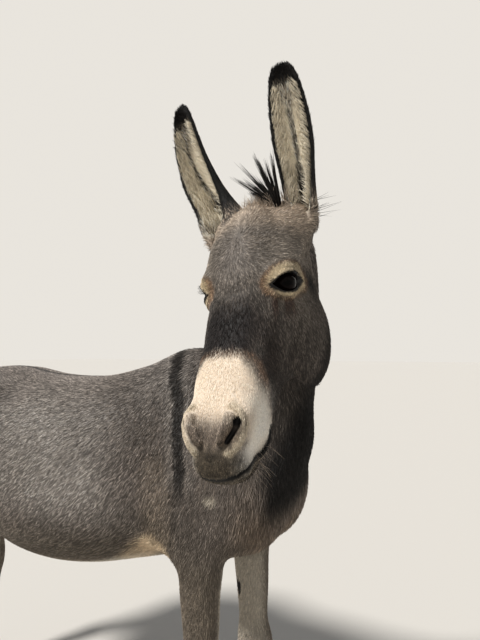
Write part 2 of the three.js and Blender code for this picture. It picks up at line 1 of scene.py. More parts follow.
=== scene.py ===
import bpy
import numpy as np
from bpy.props import FloatProperty, FloatVectorProperty, IntProperty, PointerProperty
from mathutils import Matrix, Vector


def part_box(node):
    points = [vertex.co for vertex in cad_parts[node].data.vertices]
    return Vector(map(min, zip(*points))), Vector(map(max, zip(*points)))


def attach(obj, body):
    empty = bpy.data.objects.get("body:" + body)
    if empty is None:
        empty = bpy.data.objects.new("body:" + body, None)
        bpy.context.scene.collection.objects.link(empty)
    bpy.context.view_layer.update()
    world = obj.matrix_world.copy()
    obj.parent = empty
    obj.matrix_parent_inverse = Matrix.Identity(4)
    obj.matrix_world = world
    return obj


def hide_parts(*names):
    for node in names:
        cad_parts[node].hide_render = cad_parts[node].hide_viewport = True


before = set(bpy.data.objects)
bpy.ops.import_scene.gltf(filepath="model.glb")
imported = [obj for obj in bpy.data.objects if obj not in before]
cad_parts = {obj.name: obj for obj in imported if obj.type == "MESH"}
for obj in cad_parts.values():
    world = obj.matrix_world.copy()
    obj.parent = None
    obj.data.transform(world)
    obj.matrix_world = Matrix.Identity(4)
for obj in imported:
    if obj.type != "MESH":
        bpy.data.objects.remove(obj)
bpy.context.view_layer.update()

bl_info = {
    "name": "Standing donkey",
    "version": (1, 0, 0),
    "blender": (4, 5, 0),
    "location": "3D View > Sidebar > Donkey",
    "description": "A life-size donkey: one skin, a coat of short tufts, mane, tail, eyes and hooves",
    "category": "Add Mesh",
}

SIDES = (1, -1)  # the two sides of a part's midline
FLESH = (
    "head",
    "neck",
    "forequarters",
    "barrel",
    "hindquarters",
    "ear_left",
    "ear_right",
    "foreleg_left",
    "foreleg_right",
    "hind_leg_left",
    "hind_leg_right",
)
MM = 1000  # millimetres in a metre
MOST_TUFTS = 49900  # a piece of the coat has at most so many
UNWRAP_PATCH = 0.003  # the size of a tuft or a lock's triangle on its unwrap
# The dark roots are painted shade between the tufts; the light tip is partly the hair's own lighter tip,
# partly painted highlight.
ROOT_TO_TIP = np.array([0.5, 0.5, 1.0, 1.3])  # how light a tuft's two roots, ridge and tip are

# The body is worked out in mm in the animal's own frame: it faces -Y with +Z up, X is 0 on its midline, Y is
# 0 at its withers and Z is 0 on the ground. A hoof's box gives that frame's place in the model's frame.
STANCE_X = 118
FORE_HOOF_Y = {1: -140, -1: -98}
HIND_HOOF_Y = {1: 998, -1: 905}
SWING_HEIGHT = 900  # a leg swings about this height to reach its hoof's place
EYE_RADIUS = 24
LID_UP, LID_DOWN, LID_HALF, LID_POWER = 18, 14, 33, 2.2  # the opening between the lids
LID_THICKNESS = 3.2
HEAD_BLEND, EAR_BLEND = 46, 14
EAR_LENGTH = 290
# How each ear leans outwards, its root's distance from the midline, its bow, its turn outwards and its flare.
EAR_CARRIAGE = {1: (0.245, 77, 40, 0.45, 40), -1: (-0.01, -88, 1, 0, 0)}
_low, _high = (np.array(corner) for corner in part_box("hoof_fore_left"))
_middle = (_low + _high) / 2
HOOF_AHEAD = 21  # how far the middle of a hoof's box lies ahead of its leg's line
OFFSET = np.array([_middle[0] - STANCE_X / MM, _middle[1] - (FORE_HOOF_Y[1] - HOOF_AHEAD) / MM, 0.0])


# ---- Frames: a part's own axes, side, along and up ----


def unit(v):
    """Vectors at length 1."""
    v = np.asarray(v, float)
    return v / np.maximum(np.linalg.norm(v, axis=-1, keepdims=True), 1e-9)


def make_frame(origin, along, up):
    """(origin, axes): the axes are rows side, along and up, with side = along x up and up square to along."""
    axis = unit(along)
    side = unit(np.cross(axis, up))
    return np.asarray(origin, float), np.array([side, axis, np.cross(side, axis)])


def place(frame_, at):
    """Points (side, along, up) of a frame in the animal's frame: the origin plus each size times its axis."""
    return frame_[0] + np.asarray(at, float) @ frame_[1]


def local(frame_, points):
    """The reverse of place: each point's (side, along, up) in a frame."""
    return (points - frame_[0]) @ frame_[1].T


BODY = make_frame((0, 0, 0), (0, 1, 0), (0, 0, 1))
UPRIGHT = make_frame((0, 0, 0), (0, 0, 1), (0, -1, 0))  # along is up, and up is forward
HEAD = make_frame((-285, -329, 1480), (-0.509, -0.075, -0.858), (-0.861, 0.042, 0.507))
NECK = make_frame((0, -185, 1065), (-130, -150, 355), (0, 0.82, 0.58))


def eye_frame(s):
    """An eye's frame: along runs from its front corner to its rear one, and up out between the lids."""
    along, up = (0.72 * s, -0.43, -0.55) @ HEAD[1], (0.68 * s, 0.52, 0.52) @ HEAD[1]
    return make_frame(place(HEAD, (s * 68.5, 173.5, -54)), along, up)


def ear_frame(s):
    """
    An ear's frame, bow and flare: along runs from its root to its tip, and up out of its opening. s is 1 on
    the right.
    """
    lean, root, bow, turned, flare = EAR_CARRIAGE[s]
    opening = (turned, 1, 1) @ HEAD[1]
    frame_ = make_frame(place(HEAD, (root, 2, -54)), (lean, -0.71, 0.69) @ HEAD[1], opening)
    return frame_, s * np.sign(frame_[1][0] @ HEAD[1][0]) * bow, flare


# ---- Fields: below zero inside, mm ----

FAR = 900.0


def smooth_min(a, b, k):
    """The smaller of two distances, less h * h * k / 4, where h falls from 1 at a = b to 0 at |a - b| = k."""
    h = np.maximum(k - np.abs(a - b), 0.0) / k
    return np.minimum(a, b) - h * h * k / 4


def smooth_max(a, b, k):
    """The larger of two distances, rounded in the same way."""
    return -smooth_min(-a, -b, k)


def ramp(x, start, end):
    """0 at start, 1 at end, and 3 t^2 - 2 t^3 between them."""
    t = np.clip((x - start) / (end - start), 0.0, 1.0)
    return t * t * (3 - 2 * t)


def station_curve(rows, samples=200):
    """
    Columns of stations joined by cubics whose slope at a station is the rise between its two neighbours.
    """
    rows = np.asarray(rows, float)
    s = rows[:, 0]
    ahead, behind = np.r_[1 : len(s), len(s) - 1], np.r_[0, 0 : len(s) - 1]
    slope = (rows[ahead] - rows[behind]) / (s[ahead] - s[behind])[:, None]
    marks = np.linspace(s[0], s[-1], samples + 1)
    j = np.clip(np.searchsorted(s, marks, side="right") - 1, 0, len(s) - 2)
    width = (s[j + 1] - s[j])[:, None]
    t = (marks - s[j])[:, None] / width
    table = (2 * t**3 - 3 * t**2 + 1) * rows[j] + (t**3 - 2 * t**2 + t) * width * slope[j]
    table += (3 * t**2 - 2 * t**3) * rows[j + 1] + (t**3 - t**2) * width * slope[j + 1]
    return lambda x: [np.interp(x, marks, column) for column in table.T]


def loft(frame_, rows, cap):
    """
    A loft along a frame: each section is the superellipse |across / half width|^n + |up / reach|^n = 1,
    rolled by an angle, and the distance is the radius less the radius of the section in that direction,
    capped at both ends.
    """
    section = station_curve(rows)
    first, last = rows[0][0], rows[-1][0]

    def field(points):
        p, s, q = local(frame_, points).T
        _, side, up, width, above, below, power, roll = section(s)
        p, q, turn = p - side, q - up, np.radians(roll)
        across, upward = p * np.cos(turn) - q * np.sin(turn), p * np.sin(turn) + q * np.cos(turn)
        height = np.abs(upward) / np.where(upward > 0, above, below)
        share = height**power + np.abs(across / width) ** power
        reach = np.hypot(across, upward)
        wall = reach - reach / np.maximum(share ** (1 / power), 1e-6)
        return smooth_max(smooth_max(wall, first - s, cap), s - last, cap)

    return field


def ellipsoid(frame_, at, size, pitch=0.0):
    """
    k0 (k0 - 1) / k1, where k0 is the length of the point over the half sizes, and k1 over their squares.
    """
    sin, cos = np.sin(np.radians(pitch)), np.cos(np.radians(pitch))
    side, along, up = frame_[1]
    axes = np.array([side, along * cos + up * sin, up * cos - along * sin])
    centre, size = place(frame_, at), np.asarray(size, float)

    def field(points):
        share = (points - centre) @ axes.T / size
        k0 = np.linalg.norm(share, axis=1)
        return k0 * (k0 - 1) / np.maximum(np.linalg.norm(share / size, axis=1), 1e-9)

    return field


def within(field, frame_, low, high):
    """The field inside a box of a frame, and a large distance outside it, where no surface is near."""

    def boxed(points):
        value = np.full(len(points), FAR)
        inside = np.all((local(frame_, points) > low) & (local(frame_, points) < high), axis=1)
        value[inside] = field(points[inside])
        return value

    return boxed


# ---- The donkey's lofts and muscles, the same as the solids' ----

TRUNK = [
    (-325, 0, 905, 56, 80, 76, 2, 0),
    (-285, 0, 892, 96, 140, 118, 2, 0),
    (-200, 0, 880, 146, 235, 172, 2, 0),
    (-100, 0, 868, 172, 310, 198, 1.95, 0),
    (0, 0, 860, 188, 340, 212, 1.75, 0),
    (120, 0, 858, 226, 298, 240, 1.95, 0),
    (260, 0, 860, 256, 263, 276, 2.1, 0),
    (400, 0, 862, 267, 253, 294, 2.15, 0),
    (540, 0, 872, 262, 250, 296, 2.1, 0),
    (660, 0, 890, 244, 250, 268, 2.05, 0),
    (780, 0, 915, 218, 225, 232, 2, 0),
    (880, 0, 930, 184, 184, 190, 2, 0),
    (960, 0, 930, 134, 130, 140, 2, 0),
    (1010, 0, 925, 76, 70, 80, 2, 0),
]
NECK_ROWS = [
    (-160, 20, 10, 106, 150, 140, 2, 0),
    (-60, -2, 0, 110, 172, 168, 2, 0),
    (0, -12, -8, 104, 170, 164, 2, -4),
    (100, -28, -18, 86, 146, 140, 2, -14),
    (200, -38, -26, 74, 120, 124, 2, -30),
    (300, -38, -22, 67, 97, 108, 2, -48),
    (370, -28, -12, 62, 79, 94, 2, -62),
    (430, -10, 0, 55, 66, 78, 2, -74),
    (465, 2, 4, 44, 50, 60, 2, -78),
]
HEAD_ROWS = [
    (-46, 0, -70, 42, 36, 54, 2, 0),
    (0, 0, -88, 68, 84, 106, 2.1, 0),
    (60, 0, -98, 83, 102, 134, 2.3, 0),
    (120, 0, -104, 87, 110, 152, 2.4, 0),
    (185, 0, -104, 84, 107, 164, 2.4, 0),
    (230, 0, -98, 77, 96, 162, 2.5, 0),
    (270, 0, -90, 72, 85, 142, 2.5, 0),
    (312, 0, -84, 67, 75, 106, 2.5, 0),
    (370, 0, -78, 66, 64, 74, 2.6, 0),
    (430, 0, -76, 57, 56, 62, 2.6, 0),
    (480, 0, -78, 46, 46, 56, 2.5, 0),
    (516, 0, -84, 38, 34, 36, 2.2, 0),
]
FORELEG_ROWS = [
    (44, 0, 27, 33, 33, 29, 2, 0),
    (60, 0, 21, 33, 33, 31, 2, 0),
    (84, 0, 11, 29, 29, 29, 2, 0),
    (108, 0, 1, 32, 31, 35, 2, 0),
    (132, 0, -2, 33, 31, 36, 2, 0),
    (168, 0, -3, 27, 25, 31, 2, 0),
    (230, 0, -3, 25, 24, 30, 2, 0),
    (290, 0, -2, 28, 27, 31, 2, 0),
    (328, 0, 0, 41, 41, 38, 2.2, 0),
    (368, 0, 2, 49, 50, 45, 2.3, 0),
    (408, 0, 0, 47, 49, 47, 2.2, 0),
    (458, 0, -2, 40, 42, 42, 2, 0),
    (535, 2, -4, 44, 46, 46, 2, 0),
    (615, 4, -8, 50, 52, 52, 2, 0),
    (700, 2, -12, 56, 66, 60, 2, 0),
    (780, -8, -18, 60, 82, 74, 2, 0),
    (860, -20, -24, 56, 92, 88, 2, 0),
]
HIND_LEG_ROWS = [
    (44, 0, 27, 32, 33, 29, 2, 0),
    (60, 0, 21, 32, 33, 31, 2, 0),
    (84, 0, 10, 28, 29, 29, 2, 0),
    (108, 0, -1, 32, 31, 35, 2, 0),
    (134, 0, -6, 33, 31, 36, 2, 0),
    (172, 0, -10, 27, 26, 32, 2, 0),
    (250, 0, -16, 26, 26, 33, 2, 0),
    (330, 0, -20, 29, 31, 38, 2, 0),
    (385, 0, -24, 38, 40, 43, 2.2, 0),
    (430, 0, -30, 40, 44, 49, 2.2, 0),
    (475, 0, -32, 36, 44, 57, 2, 0),
    (525, 0, -18, 38, 52, 57, 2, 0),
    (590, 4, 12, 49, 68, 70, 2, 0),
    (660, 8, 48, 62, 88, 96, 2, 0),
    (740, 6, 70, 74, 112, 132, 2, 0),
    (830, -4, 64, 84, 134, 160, 2, 0),
    (920, -24, 48, 86, 130, 166, 2, 0),
    (1000, -48, 40, 70, 96, 130, 2, 0),
]
# Ear stations: (share of the length, half width, depth of the scoop, half the angle of the roll, wall).
EAR_ROWS = [
    (-0.12, 22, 20, 150, 9),
    (0, 30, 29, 138, 9),
    (0.1, 32, 32, 120, 8),
    (0.2, 34, 32, 104, 7),
    (0.32, 38, 31, 92, 7),
    (0.46, 43, 29, 85, 7),
    (0.6, 44, 26, 80, 7),
    (0.74, 41, 22, 76, 6),
    (0.86, 36, 18, 72, 6),
    (0.94, 29, 13, 70, 5),
    (1, 16, 7, 66, 4),
]
# The dock of the tail, from its end up to the croup, under the hair.
DOCK_ROWS = [
    (640, 0, -1052, 10, 10, 10, 2, 0),
    (700, 0, -1052, 15, 14, 15, 2, 0),
    (800, 0, -1050, 18, 17, 18, 2, 0),
    (920, 0, -1044, 21, 20, 21, 2, 0),
    (1000, 0, -1028, 25, 23, 25, 2, 0),
    (1040, 0, -1010, 28, 30, 28, 2, 0),
    (1070, 0, -984, 24, 34, 25, 2, 0),
]
# Hoof stations: (height, share of the half width, toe's reach, heel's reach, how far forward it is).
HOOF_ROWS = [
    (0, 1.0, 58, 42, 12),
    (2, 1.02, 59.5, 42, 12),
    (14, 0.99, 55.5, 40.5, 14),
    (28, 0.93, 47.5, 38, 17),
    (42, 0.87, 40, 35.5, 20),
    (52, 0.83, 35.5, 33.5, 22),
    (56, 0.74, 31, 29, 22),
]
HOOF_HALF_WIDTH = 44
# Muscles and bony points: (at, half sizes, pitch, blend). One off the midline stands for a pair.
BODY_FORMS = [
    ((102, -104, 935), (62, 116, 190), -26, 90),  # shoulder
    ((122, -40, 795), (62, 110, 105), 20, 60),  # upper arm
    ((70, -214, 830), (78, 78, 112), 0, 70),  # breast
    ((120, -82, 724), (46, 46, 46), 0, 28),  # elbow
    ((178, 655, 1040), (48, 80, 48), 0, 90),  # point of hip
    ((128, 815, 900), (98, 170, 225), 12, 80),  # thigh
    ((82, 930, 925), (80, 82, 160), 0, 60),  # buttock
    ((0, 985, 1052), (26, 52, 28), -50, 50),  # root of the tail
]
HEAD_FORMS = [
    ((64, 174, -38), (31, 42, 34), 0, 22),  # orbit
    ((65, 196, -196), (36, 102, 104), -10, 26),  # cheek
    ((58, 262, -84), (14, 70, 13), -4, 26),  # facial crest
    ((65, 24, -66), (42, 54, 48), 0, 32),  # ear's root
    ((34, 446, -46), (22, 36, 28), -10, 20),  # wing of the nostril
    ((42, 436, -98), (21, 42, 23), -20, 20),  # corner of the mouth
    ((0, 496, -80), (46, 30, 34), 0, 18),  # upper lip
    ((0, 474, -124), (38, 38, 21), 0, 14),  # lower lip and chin
    ((62, 98, -44), (30, 62, 38), 0, 30),  # temple
    ((0, 110, -8), (50, 84, 22), 0, 40),  # forehead
]
# The planes of the nape and the throat, where the head begins: a point and the direction into the head.
NAPE = (place(HEAD, (0, -14, -90)), unit((0, 1, 0.5) @ HEAD[1]))
THROAT = (place(HEAD, (0, 78, -262)), unit((0, 0.25, 1) @ HEAD[1]))
FACE = (place(HEAD, (0, 0, -90)), HEAD[1])  # the head's frame, moved to the middle of its depth
# The line of the closed lips, from the corner of the mouth to the middle: (|side|, along, up) of the head.
MOUTH = [
    (60, 428, -104),
    (57, 448, -106),
    (51, 470, -103),
    (48, 489, -90),
    (42, 506, -77),
    (29, 519, -72),
    (14, 525, -72),
    (0, 526, -72),
]
# The slit of a nostril from its top to its floor, the fold round its outer side, the crease behind that fold,
# and the edge on the slit's inner side.
NOSTRIL = [(44, 450, -27), (43, 457, -29), (37, 468, -31), (29, 478, -34)]
NOSTRIL_FOLD = [
    (36, 428, -20),
    (46, 436, -25),
    (52, 450, -32),
    (49, 466, -38),
    (41, 480, -42),
    (30, 490, -43),
]
NOSTRIL_CREASE = [
    (32, 404, -23),
    (45, 420, -25),
    (58, 438, -26),
    (63, 456, -32),
    (62, 472, -40),
    (55, 486, -44),
    (44, 496, -45),
]
NOSTRIL_EDGE = [(34, 446, -14), (33, 458, -16), (26, 470, -21), (20, 480, -28)]


def leg_rows(rows, side, hoof_y, rest_y):
    """A leg's stations, moved to its side and swung about a height, so that its hoof stands at hoof_y."""
    rows = np.array(rows, float)
    rows[:, 1] = side * (STANCE_X + rows[:, 1])
    rows[:, 2] -= rest_y + (hoof_y - rest_y) * np.maximum(1 - rows[:, 0] / SWING_HEIGHT, 0)
    return rows


def leg(rows, side, hoof_y, rest_y):
    """A leg's loft, worked out only near that leg."""
    low, high = (side * STANCE_X - 190, min(hoof_y, rest_y) - 300, -50), (side * STANCE_X + 190, 1400, 1150)
    return within(loft(UPRIGHT, leg_rows(rows, side, hoof_y, rest_y), 10), BODY, low, high)


def blended(first, forms):
    """A first field with every (field, blend) joined to it in turn by smooth_min."""

    def field(points):
        total = first(points)
        for form, blend in forms:
            total = smooth_min(total, form(points), blend)
        return total

    return field


def form_list(frame_, forms):
    """(field, blend) of the forms, a mirrored pair for each that is off the midline."""
    made = []
    for (side, along, up), size, pitch, blend in forms:
        for s in SIDES if side else (1,):
            made.append((ellipsoid(frame_, (s * side, along, up), size, pitch), blend))
    return made


body_field = blended(
    loft(BODY, TRUNK, 60),
    [(loft(NECK, NECK_ROWS, 50), 90)]
    + [(leg(FORELEG_ROWS, s, FORE_HOOF_Y[s], -126), 40) for s in SIDES]
    + [(leg(HIND_LEG_ROWS, s, HIND_HOOF_Y[s], 915), 50) for s in SIDES]
    + form_list(BODY, BODY_FORMS)
    + [(within(loft(UPRIGHT, DOCK_ROWS, 8), BODY, (-130, 850, 560), (130, 1250, 1180)), 12)],
)
head_forms = blended(loft(HEAD, HEAD_ROWS, 26), form_list(HEAD, HEAD_FORMS))
head_field = within(head_forms, HEAD, (-220, -150, -390), (220, 640, 120))


def path_distance(points, path):
    """The distance from each point to a polyline, and how far along it that is, from 0 to 1."""
    path = np.asarray(path, float)
    best, share = np.full(len(points), 1e9), np.zeros(len(points))
    for i, (a, b) in enumerate(zip(path[:-1], path[1:])):
        t = np.clip((points - a) @ (b - a) / ((b - a) @ (b - a)), 0, 1)
        distance = np.linalg.norm(points - a - t[:, None] * (b - a), axis=1)
        share = np.where(distance < best, (i + t) / (len(path) - 1), share)
        best = np.minimum(best, distance)
    return best, share


def folded(points):
    """Points of the head's frame with both halves laid on one: (|side|, along, up)."""
    q = local(HEAD, points)
    return np.stack([np.abs(q[:, 0]), q[:, 1], q[:, 2]], 1)


EAR_CURVE = station_curve(EAR_ROWS)
EARS = {s: ear_frame(s) for s in SIDES}


def ear_section(s, share):
    """An ear's half width, depth, half roll and wall at shares of its length, flared towards its root."""
    _, width, depth, roll, wall = EAR_CURVE(share)
    flare = EARS[s][2] * (1 - share)
    return width + 0.35 * flare, depth + flare, roll, wall


def ear_place(points, s):
    """
    Where points are on an ear: the share of its length, the angle round its scoop over the angle of its edge,
    the distance out from the middle of its wall, the distance past its edge, its wall, and the distance
    across it.
    """
    frame_, bow, _ = EARS[s]
    p, along, q = local(frame_, points).T
    share = along / EAR_LENGTH
    width, depth, roll, wall = ear_section(s, share)
    width, depth = width - wall / 2, depth - wall / 2
    across = p - bow * np.sin(np.pi * np.clip(share, 0, 1))
    a, c = across / width, -q / depth
    r = np.maximum(np.hypot(a, c), 1e-6)
    steepness = np.hypot(a / width, c / depth) / r
    angle = np.abs(np.arctan2(a, c))
    edge = (angle - np.radians(roll)) / steepness
    return share, angle / np.radians(roll), (r - 1) / steepness, edge, wall, across


def ear_field(s):
    """An ear's wall: within half its thickness of the scoop, short of its edge and between its ends."""

    def field(points):
        share, _, out, edge, wall, _ = ear_place(points, s)
        shell = smooth_max(np.abs(out) - np.maximum(wall / 2 - 0.7, 2.7), edge + 2, 4)
        return smooth_max(shell, np.maximum(-0.1 - share, share - 0.985) * EAR_LENGTH, 5)

    return within(field, EARS[s][0], (-125, -60, -140), (125, 370, 110))


ear_fields = [ear_field(s) for s in SIDES]


def on_head(points):
    """1 on the head, 0 on the neck, with a soft change across the planes of the nape and the throat."""
    past = [ramp((points - point) @ normal, -25, 25) for point, normal in (NAPE, THROAT)]
    side, along, up = local(HEAD, points).T
    above_jaw = ramp(up - 0.3 * np.maximum(along - 230, 0), -310, -290)
    return past[0] * past[1] * ramp(np.abs(side), 190, 150) * above_jaw


def coat_depth(points):
    """How far the skin lies inside the coat's tips: least on the muzzle, and most on the trunk."""
    head = on_head(points)
    depth = 6 - 2.4 * ramp(points[:, 2], 700, 560)
    depth += head * (3.2 - depth)
    return depth - head * 1.8 * ramp(local(HEAD, points)[:, 1], 300, 380)


def lids(points, s):
    """
    An eye's lids as three distances: from the eye's middle, past the edges of their opening, and out of the
    eye. The opening's edges run as height (1 - |along / half length|^2.2), up over the eye and down under it.
    """
    side, along, out = local(eye_frame(s), points).T
    up = s * side
    above = up - LID_UP * (1 - np.abs(along / LID_HALF) ** LID_POWER)
    below = -LID_DOWN * (1 - np.abs((along - 2) / LID_HALF) ** LID_POWER) - up
    return np.linalg.norm(points - eye_frame(s)[0], axis=1), np.maximum(above, below), out


def skin_field(points):
    """
    The skin: the flesh less the coat's depth, with the ears' walls, the lids over each eye, the closed mouth
    and the nostrils. A groove or hollow is a tube round a path, taken away; a fold is a tube added.
    """
    total = smooth_min(body_field(points), head_field(points), HEAD_BLEND) + coat_depth(points)
    for field in ear_fields:
        total = smooth_min(total, field(points), EAR_BLEND)
    near = np.all(np.abs(local(HEAD, points) - (0, 330, -80)) < (130, 230, 130), axis=1)  # eyes and muzzle
    some = points[near]
    value, half = total[near], folded(some)
    for s in SIDES:
        reach, opening, out = lids(some, s)
        value = smooth_min(value, np.maximum(reach - EYE_RADIUS - LID_THICKNESS, -out), 12)
        value = np.maximum(value, EYE_RADIUS + 0.2 - reach)
        value = smooth_max(value, -np.maximum(opening, 4 - out), 1.6)
        fold = np.abs(opening - 8) + 60 * (out < 4)  # a crease 8 mm from the edges, on the front of the eye
        value += 1.3 * np.exp(-((fold / 1.6) ** 2)) * (np.abs(value) < 6)
    distance, share = path_distance(half, NOSTRIL_FOLD)
    value = smooth_min(value, distance - 6 + 2.4 * (1 - share) ** 2, 7)
    distance, _ = path_distance(half, NOSTRIL_EDGE)
    value = smooth_min(value, distance - 6.5, 6)
    distance, share = path_distance(half, NOSTRIL_CREASE)
    value = smooth_max(value, 1.2 + 3.4 * share - distance, 4)
    distance, share = path_distance(half, NOSTRIL)
    value = smooth_max(value, 6.4 - 3.6 * share - distance, 3)
    distance, share = path_distance(half, MOUTH)
    total[near] = smooth_max(value, 2.4 + 1.2 * (1 - share) - distance, 3)
    return total


# ---- Surfaces from fields ----

BLOCK, SMALL_BLOCK = 16, 4  # grid steps a side of the blocks that are kept or passed over


def ticks(start, *stretches):
    """Coordinates from start through (end, step) stretches, with more at the end to fill the last block."""
    marks = [np.array([float(start)])]
    for end, step in stretches:
        begin = marks[-1][-1]
        marks.append(np.linspace(begin, end, max(int(round((end - begin) / step)), 1) + 1)[1:])
    marks = np.concatenate(marks)
    more = -(len(marks) - 1) % BLOCK
    return np.concatenate([marks, marks[-1] + (marks[-1] - marks[-2]) * np.arange(1, more + 1)])


def near_surface(field, frame_, marks, size, blocks, slack):
    """The blocks whose middle is nearer the surface than 1.5 half diagonals and some slack."""

    def corner(steps):
        index = blocks * size + steps
        return np.stack([m[np.minimum(index[:, a], len(m) - 1)] for a, m in enumerate(marks)], 1)

    low, high = corner(0), corner(size)
    half = np.linalg.norm(high - low, axis=1) / 2
    return blocks[np.abs(field(place(frame_, (low + high) / 2))) < 1.5 * half + slack]


def surface_net(field, frame_, marks):
    """
    A closed surface of the field's zeros on a grid of a frame: each grid edge that changes sign gives a
    crossing, found by its two values' ratio. Each cell has one vertex, the mean of its edges' crossings, and
    each such edge has one quad of its four cells. Only cells of blocks near the surface are worked out.
    """
    count = np.array([len(m) for m in marks])
    blocks = np.indices((count - 1) // BLOCK).reshape(3, -1).T
    blocks = near_surface(field, frame_, marks, BLOCK, blocks, 14)
    split = BLOCK // SMALL_BLOCK
    blocks = (blocks[:, None] * split + np.indices((split,) * 3).reshape(3, -1).T).reshape(-1, 3)
    blocks = near_surface(field, frame_, marks, SMALL_BLOCK, blocks, 5)
    step = np.array([count[1] * count[2], count[2], 1])
    known = np.zeros(count.prod(), bool)
    for offset in np.indices((SMALL_BLOCK + 1,) * 3).reshape(3, -1).T:
        known[(blocks * SMALL_BLOCK + offset) @ step] = True
    nodes = np.flatnonzero(known)
    at = np.stack(np.unravel_index(nodes, count), 1)
    grid_points = np.stack([marks[a][at[:, a]] for a in range(3)], 1)
    values = np.full(count.prod(), np.nan)
    values[nodes] = field(place(frame_, grid_points))

    cells, crossings, quads = [], [], []
    for axis in range(3):
        inner = at[:, axis] < count[axis] - 1
        here, there = nodes[inner], nodes[inner] + step[axis]
        with np.errstate(invalid="ignore"):
            crossed = (values[here] < 0) != (values[there] < 0)
        crossed &= known[there]
        here, there = here[crossed], there[crossed]
        t = values[here] / (values[here] - values[there])
        point = grid_points[inner][crossed].copy()
        beyond = marks[axis][at[inner][crossed][:, axis] + 1]
        point[:, axis] += t * (beyond - point[:, axis])
        u, w = step[(axis + 1) % 3], step[(axis + 2) % 3]
        ring = np.stack([here - u - w, here - w, here, here - u], 1)
        ring[values[here] >= 0] = ring[values[here] >= 0][:, ::-1]
        quads.append(ring)
        cells.append(ring.ravel())
        crossings.append(np.repeat(point, 4, axis=0))
    cells, crossings, quads = (np.concatenate(parts) for parts in (cells, crossings, quads))
    names, owner = np.unique(cells, return_inverse=True)
    total = np.bincount(owner)
    vertices = np.stack([np.bincount(owner, crossings[:, a]) / total for a in range(3)], 1)
    return settled(field, place(frame_, vertices)), np.searchsorted(names, quads)


def slope_of(field, points, value, step=0.4):
    """The field's slope: its rise over a short step along each axis."""
    return np.stack([(field(points + step * axis) - value) / step for axis in np.eye(3)], 1)


def settled(field, points, most=2.0):
    """Points moved to the field's zeros along its slope, by value / slope squared but no more than most."""
    value = field(points)
    slope = slope_of(field, points, value)
    move = value / np.maximum((slope**2).sum(1), 0.3)
    return points - slope * np.clip(move, -most, most)[:, None]


def soft_noise(points, size, seed):
    """Random numbers from -1 to 1 on a lattice of that size, joined by smooth steps."""
    p = np.asarray(points) / size + 1000.0
    base = np.floor(p).astype(np.int64)
    f = p - base
    f = f * f * (3 - 2 * f)
    total = np.zeros(len(p))
    for corner in np.indices((2, 2, 2)).reshape(3, -1).T:
        x, y, z = (base + corner).T  # mixed by large primes and shifts into 32 even bits
        n = (x * 73856093 ^ y * 19349663 ^ z * 83492791 ^ seed * 2654435761) & 0xFFFFFFFF
        n = ((n ^ (n >> 15)) * 2246822519) & 0xFFFFFFFF
        n = ((n ^ (n >> 13)) * 3266489917) & 0xFFFFFFFF
        weight = np.prod(np.where(corner, f, 1 - f), axis=1)
        total += weight * (((n ^ (n >> 16)) & 0xFFFFFFFF) / 2147483648.0 - 1)
    return total


def tube_walls(rings, around):
    """Two triangles for each cell between neighbouring rings of a tube, as indices into its rings in turn."""
    i, j = np.meshgrid(np.arange(rings - 1), np.arange(around), indexing="ij")
    a, b = i * around + j, i * around + (j + 1) % around
    cells = [np.stack([a, b, b + around], -1), np.stack([a, b + around, a + around], -1)]
    return np.concatenate(cells).reshape(-1, 3)


def closed_tube(rings, around):
    """A tube's walls turned round, with a fan at each end about one of two points that follow the rings."""
    k, last, poles = np.arange(around), (rings - 1) * around, rings * around
    ahead = (k + 1) % around
    fans = [(0 * k + poles, k, ahead), (0 * k + poles + 1, last + ahead, last + k)]
    fans = [np.stack(fan, 1) for fan in fans]
    return np.concatenate([tube_walls(rings, around)[:, ::-1], *fans])


# ---- Objects ----


def colour_layer(mesh, colours):
    """One linear colour for each vertex, kept as the attribute coat_colour."""
    layer = mesh.attributes.new("coat_colour", "FLOAT_COLOR", "POINT")
    rgba = np.concatenate([colours, np.ones((len(colours), 1))], 1).astype(np.float32)
    layer.data.foreach_set("color", rgba.ravel())


def mesh_object(name, vertices, faces, material, colours=None, uv=None, smooth=True):
    """
    A mesh of points in mm of the animal's frame and an array of faces of one size, with its colour layer. uv
    is one place for each corner, kept as the map OFBake.
    """
    mesh = bpy.data.meshes.new(name)
    faces = np.ascontiguousarray(faces, np.int32)
    mesh.vertices.add(len(vertices))
    mesh.vertices.foreach_set("co", (np.asarray(vertices) / MM + OFFSET).astype(np.float32).ravel())
    mesh.loops.add(faces.size)
    mesh.loops.foreach_set("vertex_index", faces.ravel())
    mesh.polygons.add(len(faces))
    mesh.polygons.foreach_set("loop_start", np.arange(0, faces.size, faces.shape[1], dtype=np.int32))
    mesh.update(calc_edges=True)
    mesh.polygons.foreach_set("use_smooth", np.full(len(faces), smooth))
    if colours is not None:
        colour_layer(mesh, colours)
    if uv is not None:
        mesh.uv_layers.new(name="OFBake").data.foreach_set("uv", np.asarray(uv, np.float32).ravel())
    mesh.materials.append(material)
    made = bpy.data.objects.new(name, mesh)
    bpy.context.scene.collection.objects.link(made)
    return made


def read_mesh(made):
    """(vertices in mm of the animal's frame, vertex normals, triangles) of an object."""
    mesh = made.data
    mesh.calc_loop_triangles()

    def read(items, name, kind):
        values = np.empty(len(items) * 3, kind)
        items.foreach_get(name, values)
        return values.reshape(-1, 3)

    vertices, normals = (read(mesh.vertices, name, np.float32) for name in ("co", "normal"))
    return (vertices - OFFSET) * MM, normals.astype(float), read(mesh.loop_triangles, "vertices", np.int32)


# ---- Markings and the lie of the coat, as functions of the place ----

SHOULDER_STRIPE = [(0, 14, 1192), (0, -66, 1075), (0, -92, 915), (0, -94, 830)]
